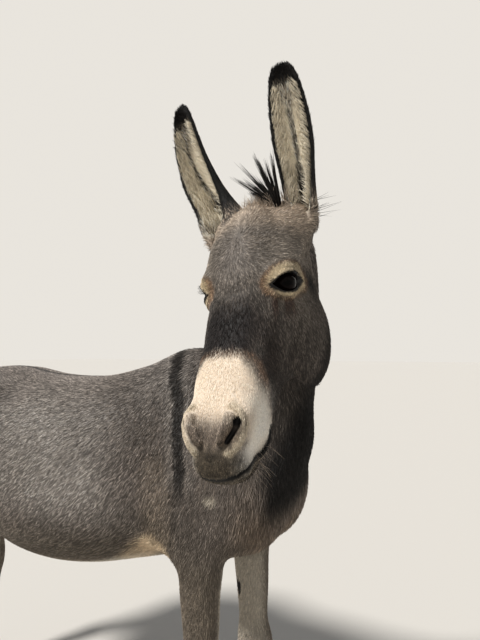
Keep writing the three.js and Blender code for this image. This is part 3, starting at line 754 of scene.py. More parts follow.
# Painted light on the muzzle's side, in patches: (weight, centre, size), in (|side|, along, up) of the head.
MUZZLE_LIT = [
    (0.9, (59, 438, -78), (20, 42, 28)),
    (0.75, (48, 470, -78), (22, 22, 17)),
    (0.6, (60, 404, -60), (18, 26, 22)),
    (0.5, (40, 484, -72), (15, 20, 14)),
]
WHORL_ALONG = 138  # how far down the head the whorl of the forehead lies


def linear(code):
    """The linear colour of an sRGB hex code: c / 12.92 up to 0.04045, ((c + 0.055) / 1.055) ^ 2.4 above."""
    c = np.array([int(code[i : i + 2], 16) for i in (1, 3, 5)]) / 255
    return tuple(np.where(c <= 0.04045, c / 12.92, ((c + 0.055) / 1.055) ** 2.4).tolist())


def near_line(points, a, b, radius, soft):
    """1 within a radius of the line from a to b, and 0 beyond that by soft more."""
    distance, _ = path_distance(points, (a, b))
    return ramp(distance, radius + soft, radius)


def spot(points, centre, size):
    """A soft round mark: e to the minus square of the distance over the size."""
    return np.exp(-(((points - centre) / size) ** 2).sum(axis=1))


def patch(points, centre, size):
    """1 within an ellipsoid and 0 outside it, with a soft edge."""
    return ramp(np.linalg.norm((points - centre) / size, axis=1), 1.15, 0.85)


def on_ear(points, s):
    """1 on an ear, 0 off it, with what ear_place says of the points."""
    found = ear_place(points, s)
    share, _, out, edge, wall, _ = found
    weight = ramp(np.maximum(np.abs(out), edge), wall / 2 + 9, wall / 2 + 3) * ramp(share, -0.03, 0.05)
    return weight * (share < 1.2), found


def coat_marks(points, paint):
    """
    The coat's linear colour at each point: a grey-brown body, dark above the nose and on the cheeks, a cream
    muzzle with a rusty border, light rings round the eyes, a dark cross on back and shoulders, and black rims
    to the ears. Each mark is laid over those before it: colour + weight (mark's colour - colour).
    """
    total = np.tile(paint["trunk"], (len(points), 1))

    def lay(code, weight):
        weight = np.clip(weight, 0, 1)[:, None]
        total[:] += weight * (np.asarray(paint[code]) - total)

    head, half = on_head(points), folded(points)
    wide, fine = soft_noise(points, 95, 3), soft_noise(points, 26, 5)
    trunk_marks(lay, points, wide, fine)
    leg_marks(lay, points)
    neck_marks(lay, points, head)
    cross_marks(lay, points, head)
    face_marks(lay, half, head, fine)
    muzzle_marks(lay, points, half, head, wide, fine)
    for s in SIDES:
        eye_marks(lay, points, s, head, fine)
        ear_marks(lay, points, s, fine)

    # Clumps of hair, darker and lighter by a third on dark hair and even on pale hair.
    d, f, u = half.T
    clump = soft_noise(np.stack([d, 0.3 * f, u], 1), 5, 21) * head * (1 + 1.4 * ramp(f, 440, 480))
    clump = clump + 0.6 * soft_noise(points * (1, 0.6, 0.6), 9, 22) * (1 - head)
    return total * (1 + 0.3 * clump * ramp(total.max(axis=1), 0.45, 0.2))[:, None]


def trunk_marks(lay, points, wide, fine):
    """The trunk's clouds, lighter flanks and darker low part, and the tan of the elbows and the breast."""
    x, y, z = points.T
    lay("trunk_dark", 0.4 + 0.45 * wide + 0.2 * fine)
    # painted sheen: the upper flanks lighter and bluer grey, where light shines off the hair
    lay("flank", ramp(z, 700, 850) * ramp(z, 1130, 1000) * ramp(y, 20, 190) * (0.9 + 0.3 * wide))
    lay("flank", 0.9 * spot(np.abs(points), (105, 30, 1120), (70, 56, 70)))
    lay("rump", ramp(y, 700, 900) * ramp(z, 760, 900) * 0.5)
    lay("trunk_low", ramp(z, 790, 660) * 0.8)
    under = ramp(z + 0.12 * np.abs(x) + 9 * fine, 650, 606)
    lay("belly", under * ramp(y, -60, 60) * ramp(y, 880, 800) * 0.85)
    for s in SIDES:
        behind_elbow = near_line(points, (s * 74, 116, 636), (s * 152, -4, 712), 22, 42)
        lay("tan", behind_elbow * (0.95 + 0.3 * fine))
        lay("tan", 0.12 * near_line(points, (s * 190, -30, 760), (s * 190, -20, 900), 14, 50))
        lay("tan", 0.8 * spot(points, (s * 120, 740, 700), (90, 60, 120)))
        lay("breast", 0.5 * spot(points, (s * 120, -262, 775), (75, 60, 85)))
    lay("breast", 0.4 * spot(points, (0, -290, 760), (60, 60, 90)))


def leg_marks(lay, points):
    """
    The legs, lighter towards the hooves and on their inner sides, with a bare callus inside each foreleg.
    """
    x, y, z = points.T
    between_legs = ramp(np.abs(y - 350), 420, 300) * ramp(z, 520, 640)
    leg_part = ramp(z, 720, 600) * (1 - between_legs)
    lay("leg", leg_part)
    lay("leg_low", leg_part * ramp(z, 560, 250))
    # painted light: the pale inner sides of the legs made lighter still, as if the sun fell on them
    lay("leg_inner", ramp(np.abs(x), 128, 92) * ramp(z, 700, 620) * 0.75)
    lay("trunk_low", 0.5 * ramp(z, 140, 70) * leg_part)
    for s in SIDES:
        lay("chestnut", patch(points, (s * 86, -99, 546), (14, 12, 21)))
        lay("cross", 0.2 * spot(points, (s * 118, -150, 390), (70, 36, 60)))


def neck_marks(lay, points, head):
    """A pale spot on the breast, the neck, and its dark throat and shaded side."""
    x = points[:, 0]
    _, along, up = local(NECK, points).T
    lay("pale_spot", patch(points, (-176, -171, 853), (30, 17, 13)) * 0.8)
    crest = ramp(along, -90, 0) * (1 - head)
    lay("neck", crest * 0.8 * ramp(up, -140, 40))
    # painted shade on the lower part of the neck
    lay("throat", crest * ramp(up, -10, -90) * 0.6)
    front = ramp(up, -120, -160) * ramp(along, -185, -110) * ramp(np.abs(x), 146, 108)
    # painted shade on the front of the neck, near black
    lay("throat", 0.97 * (front * (1 - head)))


def cross_marks(lay, points, head):
    """The cross: a stripe down the spine, and one down each shoulder with a lighter band round it."""
    x, y, z = points.T
    waver = 3 * soft_noise(points, 40, 7)
    lay("cross", ramp(np.abs(x) + 0.4 * waver, 15, 8) * ramp(z, 960, 1010) * ramp(y, -80, -40) * 0.85)
    from_line, along_line = path_distance(points * (0, 1, 1), SHOULDER_STRIPE)
    lower_end = 1 - 0.6 * ramp(along_line, 0.7, 0.97)
    stripe = ramp(from_line + waver, 18, 12) * lower_end * ramp(z, 836, 862)
    lay("flank", ramp(from_line, 48, 26) * ramp(z, 850, 900) * (1 - head) * 0.3)
    lay("cross", stripe * (1 - head) * 0.9)


def face_marks(lay, half, head, fine):
    """
    Forehead, brows, poll, temples, cheeks and bridge of the nose. d is the distance from the head's midline,
    f how far down its length, and u how high over its axis.
    """
    d, f, u = half.T
    lay("forehead", head)
    # painted light: the brows lighter than the hair is, as if the sun fell on them
    lay("brow", head * 0.85 * spot(half, (80, 134, -10), (24, 44, 40)))
    lay("forehead_light", head * 0.8 * spot(half[:, :2], (8, 150), (34, 70)))
    # the poll's own brown, made lighter in part as painted sunlight on its tufts
    poll = 0.9 * ramp(f, 105, 35) * ramp(u, -80, -30)
    lay("brown", head * (poll + 0.3 * np.maximum(fine, 0) * ramp(f, 200, 90)))
    # painted shade on the lower sides of the head behind the eyes
    lay("temple", head * ramp(u + 0.55 * d, 10, -60) * ramp(f, 250, 150) * 0.42)
    lay("cheek", head * ramp(f, 176, 286) * (0.92 + 0.2 * fine))
    lay("cheek", head * ramp(u, -120, -165) * ramp(f, 30, 90) * 0.55)
    lay("bridge", head * ramp(f + 0.5 * d, 200, 290) * ramp(d + 0.3 * np.abs(u + 20), 62, 30))
    lay("under_eye", head * 0.9 * spot(half, (74, 244, -96), (22, 44, 34)))
    cheekbone = ramp(f, 120, 190) * ramp(f, 330, 270) * ramp(u, -235, -190)
    lay("under_eye", head * 0.6 * ramp(u, -110, -150) * cheekbone)
    # painted shade under the jaw and on the neck behind it
    lay("throat", head * 0.8 * ramp(f, 60, 160) * ramp(u, -190, -236))
    # partly the coat's own dark, partly painted shade, on the low cheek beside the muzzle
    lay("throat", head * 0.5 * ramp(f, 280, 340) * ramp(u, -80, -124))


def muzzle_marks(lay, points, half, head, wide, fine):
    """The cream nose with its rusty border, the grey between the nostrils, the lips and the nostrils."""
    d, f, u = half.T
    side = local(HEAD, points)[:, 0]
    border = f - 334 - 0.95 * np.maximum(0, -u - 28) + 4 * fine + 2.5 * soft_noise(points, 8, 9)
    soft = 14 + 34 * ramp(d, 28, 50)
    lay("rust", head * ramp(border, -11, 0) * ramp(border, 18, 5) * 0.55)
    lay("cream", head * ramp(border / soft, 0, 1))
    # painted light: the lower sides of the nose lighter than cream, as if lit
    lay("cream_shade", head * ramp(border, 0, 14) * ramp(u, -52, -86) * ramp(f, 450, 400) * 0.75)
    speckle = 0.5 + 0.6 * soft_noise(points, 5, 17)
    lay("rust", head * ramp(border, -4, 5) * ramp(border, 38, 6) * ramp(u, -22, -50) * speckle)

    grey = f + 6 * wide + 4 * fine
    lay("muzzle", head * ramp(grey, 424, 472) * ramp(d + 0.2 * np.abs(u + 40), 68, 50) * ramp(side, 44, 26))
    lay("lip", head * ramp(grey, 466, 500) * 0.9)
    lay("wing", head * 0.8 * ramp(path_distance(half, NOSTRIL_FOLD)[0], 13, 5))
    # painted light in patches on the muzzle's side
    for weight, centre, size in MUZZLE_LIT:
        lay("muzzle_light", head * weight * spot(half, centre, size))
    lay("lip", head * (ramp(u, -84, -104) * ramp(f, 436, 470)) * 0.8)
    # painted shade under the chin
    lay("chin", head * ramp(u, -112, -126) * ramp(f, 396, 450))

    # Painted shade in the creases and slits of the nostrils: dark on the left side and faint on the right.
    shown = np.where(side < 0, 1.0, 0.16)
    from_crease, share = path_distance(half, NOSTRIL_CREASE)
    lay("nostril_rim", head * ramp(from_crease, 9, 3) * ramp(share, 0.1, 0.6) * 0.95 * shown)
    from_mouth, share = path_distance(half, MOUTH)
    # the mouth's line: the lips' own dark skin, with painted shade in the gap between them
    lay("skin", head * ramp(from_mouth - 5 * ramp(share, 0.5, 0.1), 6.5, 3.2))
    from_slit, share = path_distance(half, NOSTRIL)
    lay("nostril_rim", head * ramp(from_slit, 17, 8) * 0.7 * shown * ramp(share, -0.2, 0.3))
    # painted shade inside the nostril's slit
    lay("inside", head * ramp(from_slit - 3.2 * ramp(share, 0.4, 0.05), 6.2, 4.2) * np.sqrt(shown))


def eye_marks(lay, points, s, head, fine):
    """
    A dark hollow behind the eye, streaks of wet hair below it, the light ring with its tan edge and front
    corner, and the dark lids. m is how high a point is over the eye's middle.
    """
    side, along, _ = local(eye_frame(s), points).T
    *_, out = lids(points, s)
    m = s * side
    # painted shadow in the hollow behind the eye
    hollow = np.exp(-(((along - 84) / 24) ** 2) - ((m + 4) / 30) ** 2)
    lay("throat", head * ramp(out, -130, -100) * hollow)
    streak = soft_noise(np.stack([along, 0.22 * m, 0 * m], 1), 7, 13)
    wet = ramp(m, -18, -27) * ramp(m, -64, -34) * ramp(np.abs(along + 6), 50, 20) * ramp(out, -40, -20)
    lay("stain", head * wet * np.clip(0.35 + 1.3 * streak, 0, 0.9))

    ring = np.hypot((along - 9) / 60, (m - 5) / 33) + 0.09 * fine + 0.05 * soft_noise(points, 7, 4)
    at_eye = ramp(out, -75, -50) * head
    lay("ring_edge", at_eye * ramp(ring, 1.14, 0.9) * 0.9)
    lay("ring", at_eye * ramp(ring, 0.98, 0.72))
    lay("tear", at_eye * ramp(along, -20, -36) * ramp(ring, 1.1, 0.95) * ramp(ring, 0.7, 0.86) * 0.5)
    lay("forehead", at_eye * 0.35 * ramp(ring, 0.96, 0.7) * ramp(m, 4, 22) * ramp(along, -6, 20))

    # The dark lids: two arches over and under the eye, longer behind its middle than before it.
    reach = np.abs(along - 4) / np.where(along > 4, 51, 43)
    arch = 1 - reach**2.3
    dark = np.maximum(m - 20 * arch, -16.6 * arch - m)
    lay("skin", at_eye * ramp(dark + 0.8 * fine, 1.6, -0.4))
    corner, duct = place(eye_frame(s), (0, -24, 10)), place(eye_frame(s), (-s * 10, -40, 4))
    lay("skin", at_eye * 0.55 * near_line(points, corner, duct, 1.6, 4))


def ear_marks(lay, points, s, fine):
    """The dark back and rims of an ear, its pale inside with two dark hollows, and its black tip."""
    weight, (share, angle, away, edge, _, across) = on_ear(points, s)
    width = ear_section(s, share)[0]
    inside = ramp(away, 1.5, -1.5)
    within_ear = weight * inside
    lay("ear_back", weight)
    lay("ear_inside", within_ear)
    lay("ear_light", within_ear * ramp(angle, 0.25, 0.55) * ramp(share, 0.7, 0.25) * (0.7 + 0.5 * fine))
    lay("wax", within_ear * ramp(share, 0.58, 0.84) * 0.55)
    lay("wax", within_ear * ramp(share, 0.2, 0.04) * 0.6)
    hollow = np.abs(across / width + (0.34 if s > 0 else 0)) + 0.03 * fine
    low = ramp(share, 0.04, 0.12) * ramp(share, 0.36, 0.24)
    high = ramp(share, 0.2, 0.3) * ramp(share, 0.85, 0.6)
    lay("inside", within_ear * ramp(hollow, 0.3, 0.12) * low)
    lay("inside", within_ear * ramp(hollow, 0.17, 0.03) * high * 0.75)
    lay("brown", weight * (1 - inside) * ramp(share, 0.34, 0.04) * 0.35)
    lay("ear_rim", weight * ramp(edge + 2 * fine, -11, -6) * ramp(share, 0.06, 0.2))
    band = (17 if s < 0 else 9) + 2.5 * fine
    lay("ear_rim", weight * ramp(across - width, -band - 6, -band) * ramp(share, 0.04, 0.2) * (angle > 0.1))
    lay("ear_rim", weight * (1 - inside) * ramp(angle, 0.45, 0.8) * ramp(share, 0.1, 0.25) * 0.8)
    lay("ear_rim", weight * ramp(share * EAR_LENGTH + 5 * fine, EAR_LENGTH - 52, EAR_LENGTH - 32))


def coat_lie(points, normals):
    """
    The way the hair lies: back and down over the trunk, level along the spine and belly, down the breast and
    legs, away from the eyes, and up the ears to their tips. Each turn moves the way towards another by a
    weight, and the end is made square to the normal.
    """
    _, y, z = points.T
    way = np.tile((0.0, 1.0, -0.95), (len(points), 1))

    def turn(to, weight):
        weight = np.clip(weight, 0, 1)[:, None]
        way[:] += weight * (np.asarray(to, float) - way)

    turn((0, 1, -0.15), ramp(normals[:, 2], 0.8, 0.98))
    turn((0, 0.42, -1), ramp(y, 180, -20))
    turn((0, 1, -0.1), ramp(normals[:, 2], -0.3, -0.75))
    turn((0, 0.55, -1), ramp(y, 720, 900))
    turn((0, 0.2, -1), ramp(y, -150, -240))
    turn(unit((0, -1, -0.55) @ NECK[1]), ramp(local(NECK, points)[:, 1], 0, 110))
    turn((0, 0.1, -1), ramp(z, 730, 630) * (1 - ramp(np.abs(y - 350), 420, 300) * ramp(z, 520, 640)))

    head, q = on_head(points), local(HEAD, points)
    turn(face_lie(q) @ HEAD[1], head)
    for s in SIDES:
        side, along, _ = local(eye_frame(s), points).T
        reach = np.hypot(along - 4, side * 1.3)
        away = (np.stack([side * 1.3, along - 4, 0 * side], 1) + (0, 14, 0)) @ eye_frame(s)[1]
        turn(unit(away), head * ramp(reach, 66, 40) * (s * q[:, 0] > 0))
        weight, (share, *_, across) = on_ear(points, s)
        tip = ramp(share, 0.84, 0.94)
        lean = 0.22 * np.sign(across) * (1 - tip) - 0.75 * across / ear_section(s, share)[0] * tip
        turn(EARS[s][0][1][1] + lean[:, None] * EARS[s][0][1][0], weight)
    way -= (way * normals).sum(axis=1)[:, None] * normals
    return unit(way)


def face_lie(q):
    """
    The way the hair lies on the head, as (side, along, up) of its frame: out from a whorl on the forehead,
    turned a little round it, down and outwards on the face, back over the cheeks, and straight down on the
    muzzle.
    """
    d, f, u = np.abs(q[:, 0]), q[:, 1], q[:, 2]
    down = np.tile((0.0, 1.0, -0.25), (len(q), 1))
    down[:, 0] += 0.5 * np.clip(q[:, 0] / 50, -1, 1)
    past = f - WHORL_ALONG
    spread = np.stack([q[:, 0], np.where(f < WHORL_ALONG, 0.3, 1.1) * past, np.minimum(u - 13, 0) * 0.8], 1)
    heart = 0.85 * np.exp(-((d / 26) ** 2) - (past / 34) ** 2)[:, None]
    spread = spread * (1 - heart) + np.array((0, 22, -6)) * heart
    spread = unit(spread + np.stack([-spread[:, 1], spread[:, 0], 0 * f], 1) * 0.25)
    for weight, to in (
        (ramp(f, 215, 150), spread),
        (ramp(d, 46, 66) * ramp(u, -40, -90), (0, 0.7, -0.75)),
        (ramp(f, 330, 400), (0, 1, -0.35)),
    ):
        down = down * (1 - weight[:, None]) + np.asarray(to) * weight[:, None]
    return down


# ---- Tufts and locks ----


def scatter(rng, vertices, normals, triangles, density):
    """
    Random roots on triangles: area times density of them on each, the odd part by chance. A root's place is
    a + u (b - a) + v (c - a) with u + v < 1, and its normal is the corners' normals mixed in the same way.
    """
    a, b, c = (vertices[triangles[:, i]] for i in range(3))
    area = np.linalg.norm(np.cross(b - a, c - a), axis=1) / 2
    count = np.floor(area * density + rng.random(len(area))).astype(int)
    pick = np.repeat(np.arange(len(area)), count)
    u, v = rng.random((2, len(pick), 1))
    over = u + v > 1
    u, v = np.where(over, 1 - u, u), np.where(over, 1 - v, v)
    first, second, third = triangles[pick].T
    roots, mixed = ((1 - u - v) * p[first] + u * p[second] + v * p[third] for p in (vertices, normals))
    return roots, unit(mixed)


def unwrap(points, frame_, low, high, part=0, parts=1):
    """
    A cylinder's unwrap of a limb or the trunk: the angle round the frame's length axis across, and the
    distance along it upwards, in one of several strips beside each other.
    """
    side, along, up = local(frame_, points).T
    across = (np.arctan2(side, up) / (2 * np.pi) + 0.5) * 0.94 + 0.03
    upward = 0.02 + 0.96 * np.clip((along - low) / (high - low), 0, 1)
    return np.stack([(np.clip(across, 0, 1) + part) / parts, upward], 1)


def tufts(rng, roots, normals, ways, colours, shape, places, plain):
    """
    Tufts as slim closed wedges. Each has two root corners W apart, sunk under the skin, a ridge at 0.45 L and
    a tip at L along its way, lifted off the skin by the tip's height. shape holds L, W and the height for
    each tuft. The colour runs from dark at the root to light at the tip, less so where plain is near 1 and on
    pale hair. Returns vertices, triangles, colours and a UV per corner.
    """
    count = len(roots)
    length, width, lift = (np.asarray(v, float)[:, None] for v in shape)
    length = length * rng.uniform(0.7, 1.3, (count, 1))
    lift = lift * rng.uniform(0.5, 1.4, (count, 1))
    swing = rng.normal(0, 0.17, (count, 1))
    across = np.cross(normals, ways)
    turned = ways * np.cos(swing) + across * np.sin(swing)
    across = across * np.cos(swing) - ways * np.sin(swing)
    sunk = roots - 0.5 * normals
    vertices = np.stack([
        sunk - across * width / 2,
        sunk + across * width / 2,
        roots + 0.45 * length * turned + (0.55 * lift + 0.12 * width) * normals,
        roots + length * turned + lift * normals,
    ], 1)
    pale = colours.max(axis=1)[:, None, None]
    # A few tufts are made much lighter as painted glints of light; the rest vary at random.
    shade = 0.43 + 2.2 * rng.random((count, 1, 1)) ** 2.9  # most are dark, and a few much lighter
    shade = (shade * ROOT_TO_TIP[None, :, None] - 1) * (1 - 0.9 * ramp(pale, 0.3, 0.72))
    shade = shade * (1 - plain)[:, None, None] + 1
    colours = np.minimum(colours[:, None] * shade, 0.9)
    faces = np.array([(0, 3, 2), (2, 3, 1), (0, 2, 1), (0, 1, 3)])
    corners = (np.array([(0, 0), (1, 0), (0.5, 0.5), (0.5, 1)]) - 0.5) * UNWRAP_PATCH
    uv = (places[:, None] + corners)[:, faces.ravel()]
    faces = faces[None] + 4 * np.arange(count)[:, None, None]
    return vertices.reshape(-1, 3), faces.reshape(-1, 3), colours.reshape(-1, 3), uv.reshape(-1, 2)


def locks(rng, roots, ways, bends, lengths, widths, root_colour, tip_colour, rings=5):
    """
    Locks as three-sided tapering tubes. The middle runs root + L (t way + t^2 bend) for t from 0 to 1, the
    half width is W (1 - 0.9 t^1.5) / 2, and the colour runs from the root's to the tip's.
    """
    count = len(roots)
    ways, bends = unit(ways), np.broadcast_to(np.asarray(bends, float), ways.shape)
    lengths, widths = (np.broadcast_to(np.asarray(v, float), (count,))[:, None] for v in (lengths, widths))
    t = np.linspace(0, 1, rings)[None, :, None]
    middle = roots[:, None] + lengths[:, None] * (t * ways[:, None] + t**2 * bends[:, None])
    along = unit(ways[:, None] + 2 * t * bends[:, None])
    helper = unit(np.cross(ways, rng.normal(size=(count, 3))))[:, None]
    u = unit(np.cross(along, helper))
    v = np.cross(along, u)
    angle = (np.arange(3) * 2 * np.pi / 3)[None, None, :, None]
    half = (widths[:, None] / 2 * (1 - 0.9 * t**1.5))[:, :, None]
    points = middle[:, :, None] + half * (np.cos(angle) * u[:, :, None] + np.sin(angle) * v[:, :, None])
    last = 3 * rings - 3
    faces = np.concatenate([tube_walls(rings, 3), [(2, 1, 0), (last, last + 1, last + 2)]])
    mix = t * np.ones((count, 1, 1)) * rng.uniform(0.7, 1.15, (count, 1, 1))
    shade = rng.uniform(0.75, 1.2, (count, 1, 1))
    colour = (np.asarray(root_colour) * (1 - mix) + np.asarray(tip_colour) * mix) * shade
    colour = np.repeat(colour[:, :, None], 3, 2)
    faces = faces[None] + 3 * rings * np.arange(count)[:, None, None]
    return points.reshape(-1, 3), faces.reshape(-1, 3), colour.reshape(-1, 3)


def joined(parts):
    """
    Several (vertices, faces, colours) as one, with the faces' numbers moved on past the earlier vertices.
    """
    start = np.cumsum([0] + [len(part[0]) for part in parts])
    vertices, _, colours = (np.concatenate([part[i] for part in parts]) for i in range(3))
    return vertices, np.concatenate([part[1] + first for part, first in zip(parts, start)]), colours


def lock_places(faces, frame_, vertices, low, high):
    """Places on the unwrap for the corners of locks: each triangle is a patch where its first corner lies."""
    first = unwrap(vertices[faces[:, 0]], frame_, low, high)
    corners = np.array([(-0.5, -0.5), (0.5, -0.5), (0, 0.5)]) * UNWRAP_PATCH
    return (first[:, None] + corners).reshape(-1, 2)


COAT_PIECES = [
    "coat_face_right",
    "coat_face_left",
    "coat_ears",
    "coat_neck",
    "coat_fore_right",
    "coat_fore_left",
    "coat_barrel_right",
    "coat_barrel_left",
    "coat_hind_right",
    "coat_hind_left",
    "coat_forelegs",
    "coat_hind_legs",
]
EARS_PIECE, NECK_PIECE, FORELEGS_PIECE, HIND_LEGS_PIECE = 2, 3, 10, 11  # those that hold both sides
TRUNK_ENDS = ((-340, 160), (140, 660), (640, 1080))  # the ends of fore, barrel and hind on their unwraps


def skin_regions(points):
    """The piece of the coat that each point belongs to, as an index into COAT_PIECES."""
    x, y, z = points.T
    side = (x > 0).astype(int)
    fore, hind = y < 150, y > 650
    index = np.where(fore, 4 + side, np.where(hind, 8 + side, 6 + side))
    legs = (z < 640) & ((y < 60) | (y > 760) | (z < 500))
    index = np.where(legs, np.where(y < 400, FORELEGS_PIECE, HIND_LEGS_PIECE), index)
    index = np.where((local(NECK, points)[:, 1] > 30) & (z > 850), NECK_PIECE, index)
    index = np.where(on_head(points) > 0.5, (local(HEAD, points)[:, 0] < 0).astype(int), index)
    for s in SIDES:
        index = np.where(on_ear(points, s)[0] > 0.5, EARS_PIECE, index)
    return index


def coat_places(index, points):
    """Each root's place on the unwrap of its piece of the coat."""
    if index < EARS_PIECE:
        return unwrap(points, FACE, -70, 530)
    if index == NECK_PIECE:
        return unwrap(points, NECK, -40, 480)
    if index == EARS_PIECE:
        side = local(HEAD, points)[:, 0]
        first = np.abs(side - 85) < np.abs(side + 85)
        strips = [unwrap(points, EARS[s][0], -30, 300, part, 2) for part, s in enumerate(SIDES)]
    elif index < FORELEGS_PIECE:
        return unwrap(points, (np.array((0, 0, 880.0)), BODY[1]), *TRUNK_ENDS[(index - 4) // 2])
    else:
        first, strips = points[:, 0] > 0, []
        for part, s in enumerate(SIDES):
            y = np.mean(points[first == (s > 0), 1])
            strips.append(unwrap(points, (np.array((s * STANCE_X, y, 0.0)), UPRIGHT[1]), 30, 660, part, 2))
    return np.where(first[:, None], *strips)


def tuft_shape(points, normals):
    """The length, width and lift of tufts, and how many to a square mm, for their place on the body."""
    _, y, z = points.T
    length, width, lift, cover = (np.full(len(points), value) for value in (14.0, 2.05, 2.3, 1.15))

    def set_to(weight, values):
        weight = np.clip(weight, 0, 1)
        for now, value in zip((length, width, lift, cover), values):
            now[:] += weight * (value - now)

    set_to(ramp(normals[:, 2], -0.4, -0.8), (20, 3, 4, 1.2))
    set_to(ramp(local(NECK, points)[:, 1], 0, 90), (17, 2.3, 2.8, 1.3))
    set_to(ramp(y, -180, -240) * ramp(z, 960, 860), (20, 2.6, 3.4, 1.4))
    set_to(ramp(z, 700, 600), (12, 2.1, 1.6, 1.3))
    set_to(ramp(z, 200, 110), (10, 1.8, 1.6, 1.4))
    head, half = on_head(points), folded(points)
    _, f, u = half.T
    set_to(head, (10, 1.65, 1.1, 1.5))
    set_to(head * ramp(f, 60, 0), (16, 1.9, 3, 1.9))
    set_to(head * ramp(u, -185, -225), (15, 1.9, 2.8, 1.6))
    set_to(head * ramp(f, 190, 250), (11, 1.85, 1.2, 1.6))
    set_to(head * ramp(f, 290, 345), (6, 1.2, 0.55, 1.3))
    set_to(head * ramp(f, 420, 470), (4.2, 1.05, 0.4, 1.2))
    own_half = local(HEAD, points)[:, 0]
    for s in SIDES:
        side, along, _ = local(eye_frame(s), points).T
        near = ramp(np.hypot(along - 4, side * 1.25), 74, 40) * (s * own_half > 0) * head
        set_to(near, (6, 1.15, 0.8, 1.7))
        _, opening, out = lids(points, s)
        set_to((opening < 3.5) & (out > 0) & (near > 0.5), (2, 0.8, 0.1, 0))
        weight, (share, _, away, edge, _, _) = on_ear(points, s)
        set_to(weight, (10, 1.8, 1.0, 1.5))
        set_to(weight * ramp(away, 1, -1), (11, 1.6, 1.6, 1.2))
        set_to(weight * ramp(edge, -8, -3), (9, 1.6, 1.0, 1.6))
        set_to(weight * ramp(share, 0.88, 0.96), (8.5, 1.5, 1.4, 2.0))
    bare = (path_distance(half, MOUTH)[0] < 5) | (path_distance(half, NOSTRIL)[0] < 6.8)
    cover[bare & (head > 0.5)] = 0
    return length, width, lift, cover * 2 / (length * width)


def plainness(points):
    """How even the colour of a tuft is from root to tip: more on legs, breast and forehead, less on ears."""
    _, y, z = points.T
    head = on_head(points)
    legs = ramp(z, 760, 640)
    breast = ramp(y, -60, -170) * ramp(z, 1040, 960)
    forehead = ramp(local(HEAD, points)[:, 1], 230, 170)
    ears = sum(on_ear(points, s)[0] for s in SIDES)
    return np.clip(0.4 * legs + 0.3 * breast, 0, 0.45) * (1 - head) + 0.22 * head * forehead - 1.2 * ears


# ---- Materials ----


def fill(tree, made, inputs):
    """Fill a node's inputs by name: a socket is linked to its input, and any other value is set."""
    for name, value in dict(inputs).items():
        if isinstance(value, bpy.types.NodeSocket):
            tree.links.new(value, made.inputs[name])
        else:
            made.inputs[name].default_value = value


def node(tree, kind, inputs=(), **settings):
    """A shader node of a kind, with its settings and its inputs."""
    made = tree.nodes.new(kind)
    for name, value in settings.items():
        setattr(made, name, value)
    fill(tree, made, inputs)
    return made


def new_material(name):
    """(material, its node tree, its Principled shader) of a new material of a name."""
    made = bpy.data.materials.new(name)
    made.use_nodes = True
    return made, made.node_tree, made.node_tree.nodes["Principled BSDF"]


def hair_material(name, roughness, sheen, grain):
    """
    Hair: the eye gets its colour from coat_colour, broken by a grain of so many mm as single hairs would, and
    a soft broad shine with a faint light edge.
    """
    made, tree, shader = new_material(name)
    colour = node(tree, "ShaderNodeAttribute", attribute_name="coat_colour", attribute_type="GEOMETRY")
    at = node(tree, "ShaderNodeTexCoord")
    noise = node(
        tree, "ShaderNodeTexNoise",
        {"Vector": at.outputs["Object"], "Scale": MM / grain, "Detail": 2.0, "Roughness": 0.6},
    )
    spread = node(
        tree, "ShaderNodeMapRange",
        {"Value": noise.outputs["Fac"], "From Min": 0.3, "From Max": 0.7, "To Min": 0.85, "To Max": 1.15},
    )
    mixed = node(
        tree, "ShaderNodeVectorMath", {0: colour.outputs["Color"], "Scale": spread.outputs["Result"]},
        operation="SCALE",
    )
    bump = node(
        tree, "ShaderNodeBump", {"Height": noise.outputs["Fac"], "Strength": 0.35, "Distance": 1.2 / MM}
    )
    fill(tree, shader, {
        "Base Color": mixed.outputs["Vector"],
        "Normal": bump.outputs["Normal"],
        "Roughness": roughness,
        "Specular IOR Level": 0.22,
        "Sheen Weight": sheen,
        "Sheen Roughness": 0.4,
        "Sheen Tint": colour.outputs["Color"],
    })
    return made


def eye_material():
    """A wet eye: a dark brown ball with a wide dark pupil, which shows mostly by its sharp bright shine."""
    made, tree, shader = new_material("wet eye")
    colour = node(tree, "ShaderNodeAttribute", attribute_name="coat_colour", attribute_type="GEOMETRY")
    fill(tree, shader, {
        "Base Color": colour.outputs["Color"],
        "Roughness": 0.05,
        "Specular IOR Level": 0.045,
    })
    return made


def horn_material(colour):
    """Hoof horn: dark grey, with growth rings across it a few mm apart and a dull shine."""
    made, tree, shader = new_material("hoof horn")
    at = node(tree, "ShaderNodeTexCoord")
    wave = node(
        tree, "ShaderNodeTexWave",
        {
            "Vector": at.outputs["Object"],
            "Scale": 60.0,
            "Distortion": 2.0,
            "Detail": 2.0,
            "Detail Scale": 0.6,
        },
        bands_direction="Z",
    )
    spread = node(
        tree, "ShaderNodeMapRange", {"Value": wave.outputs["Fac"], "To Min": 0.7, "To Max": 1.3}
    )
    mixed = node(
        tree, "ShaderNodeVectorMath", {0: tuple(colour), "Scale": spread.outputs["Result"]},
        operation="SCALE",
    )
    bump = node(
        tree, "ShaderNodeBump", {"Height": wave.outputs["Fac"], "Strength": 0.3, "Distance": 1 / MM}
    )
    fill(tree, shader, {
        "Base Color": mixed.outputs["Vector"],
        "Normal": bump.outputs["Normal"],
        "Roughness": 0.5,
    })
    return made


def floor_material(colour):
    """A matt painted floor, pale and even, that takes a soft shadow and hardly shines."""
    made, tree, shader = new_material("pale studio floor")
    fill(tree, shader, {
        "Base Color": (*colour, 1),
        "Roughness": 0.9,
        "Specular IOR Level": 0.1,
    })
    return made


# ---- Sizes and colours ----


def length_field(name, words, default, least):
    """A length in metres that the user can change."""
    return FloatProperty(
        name=name, description=words, default=default, min=least, subtype="DISTANCE", unit="LENGTH"
    )


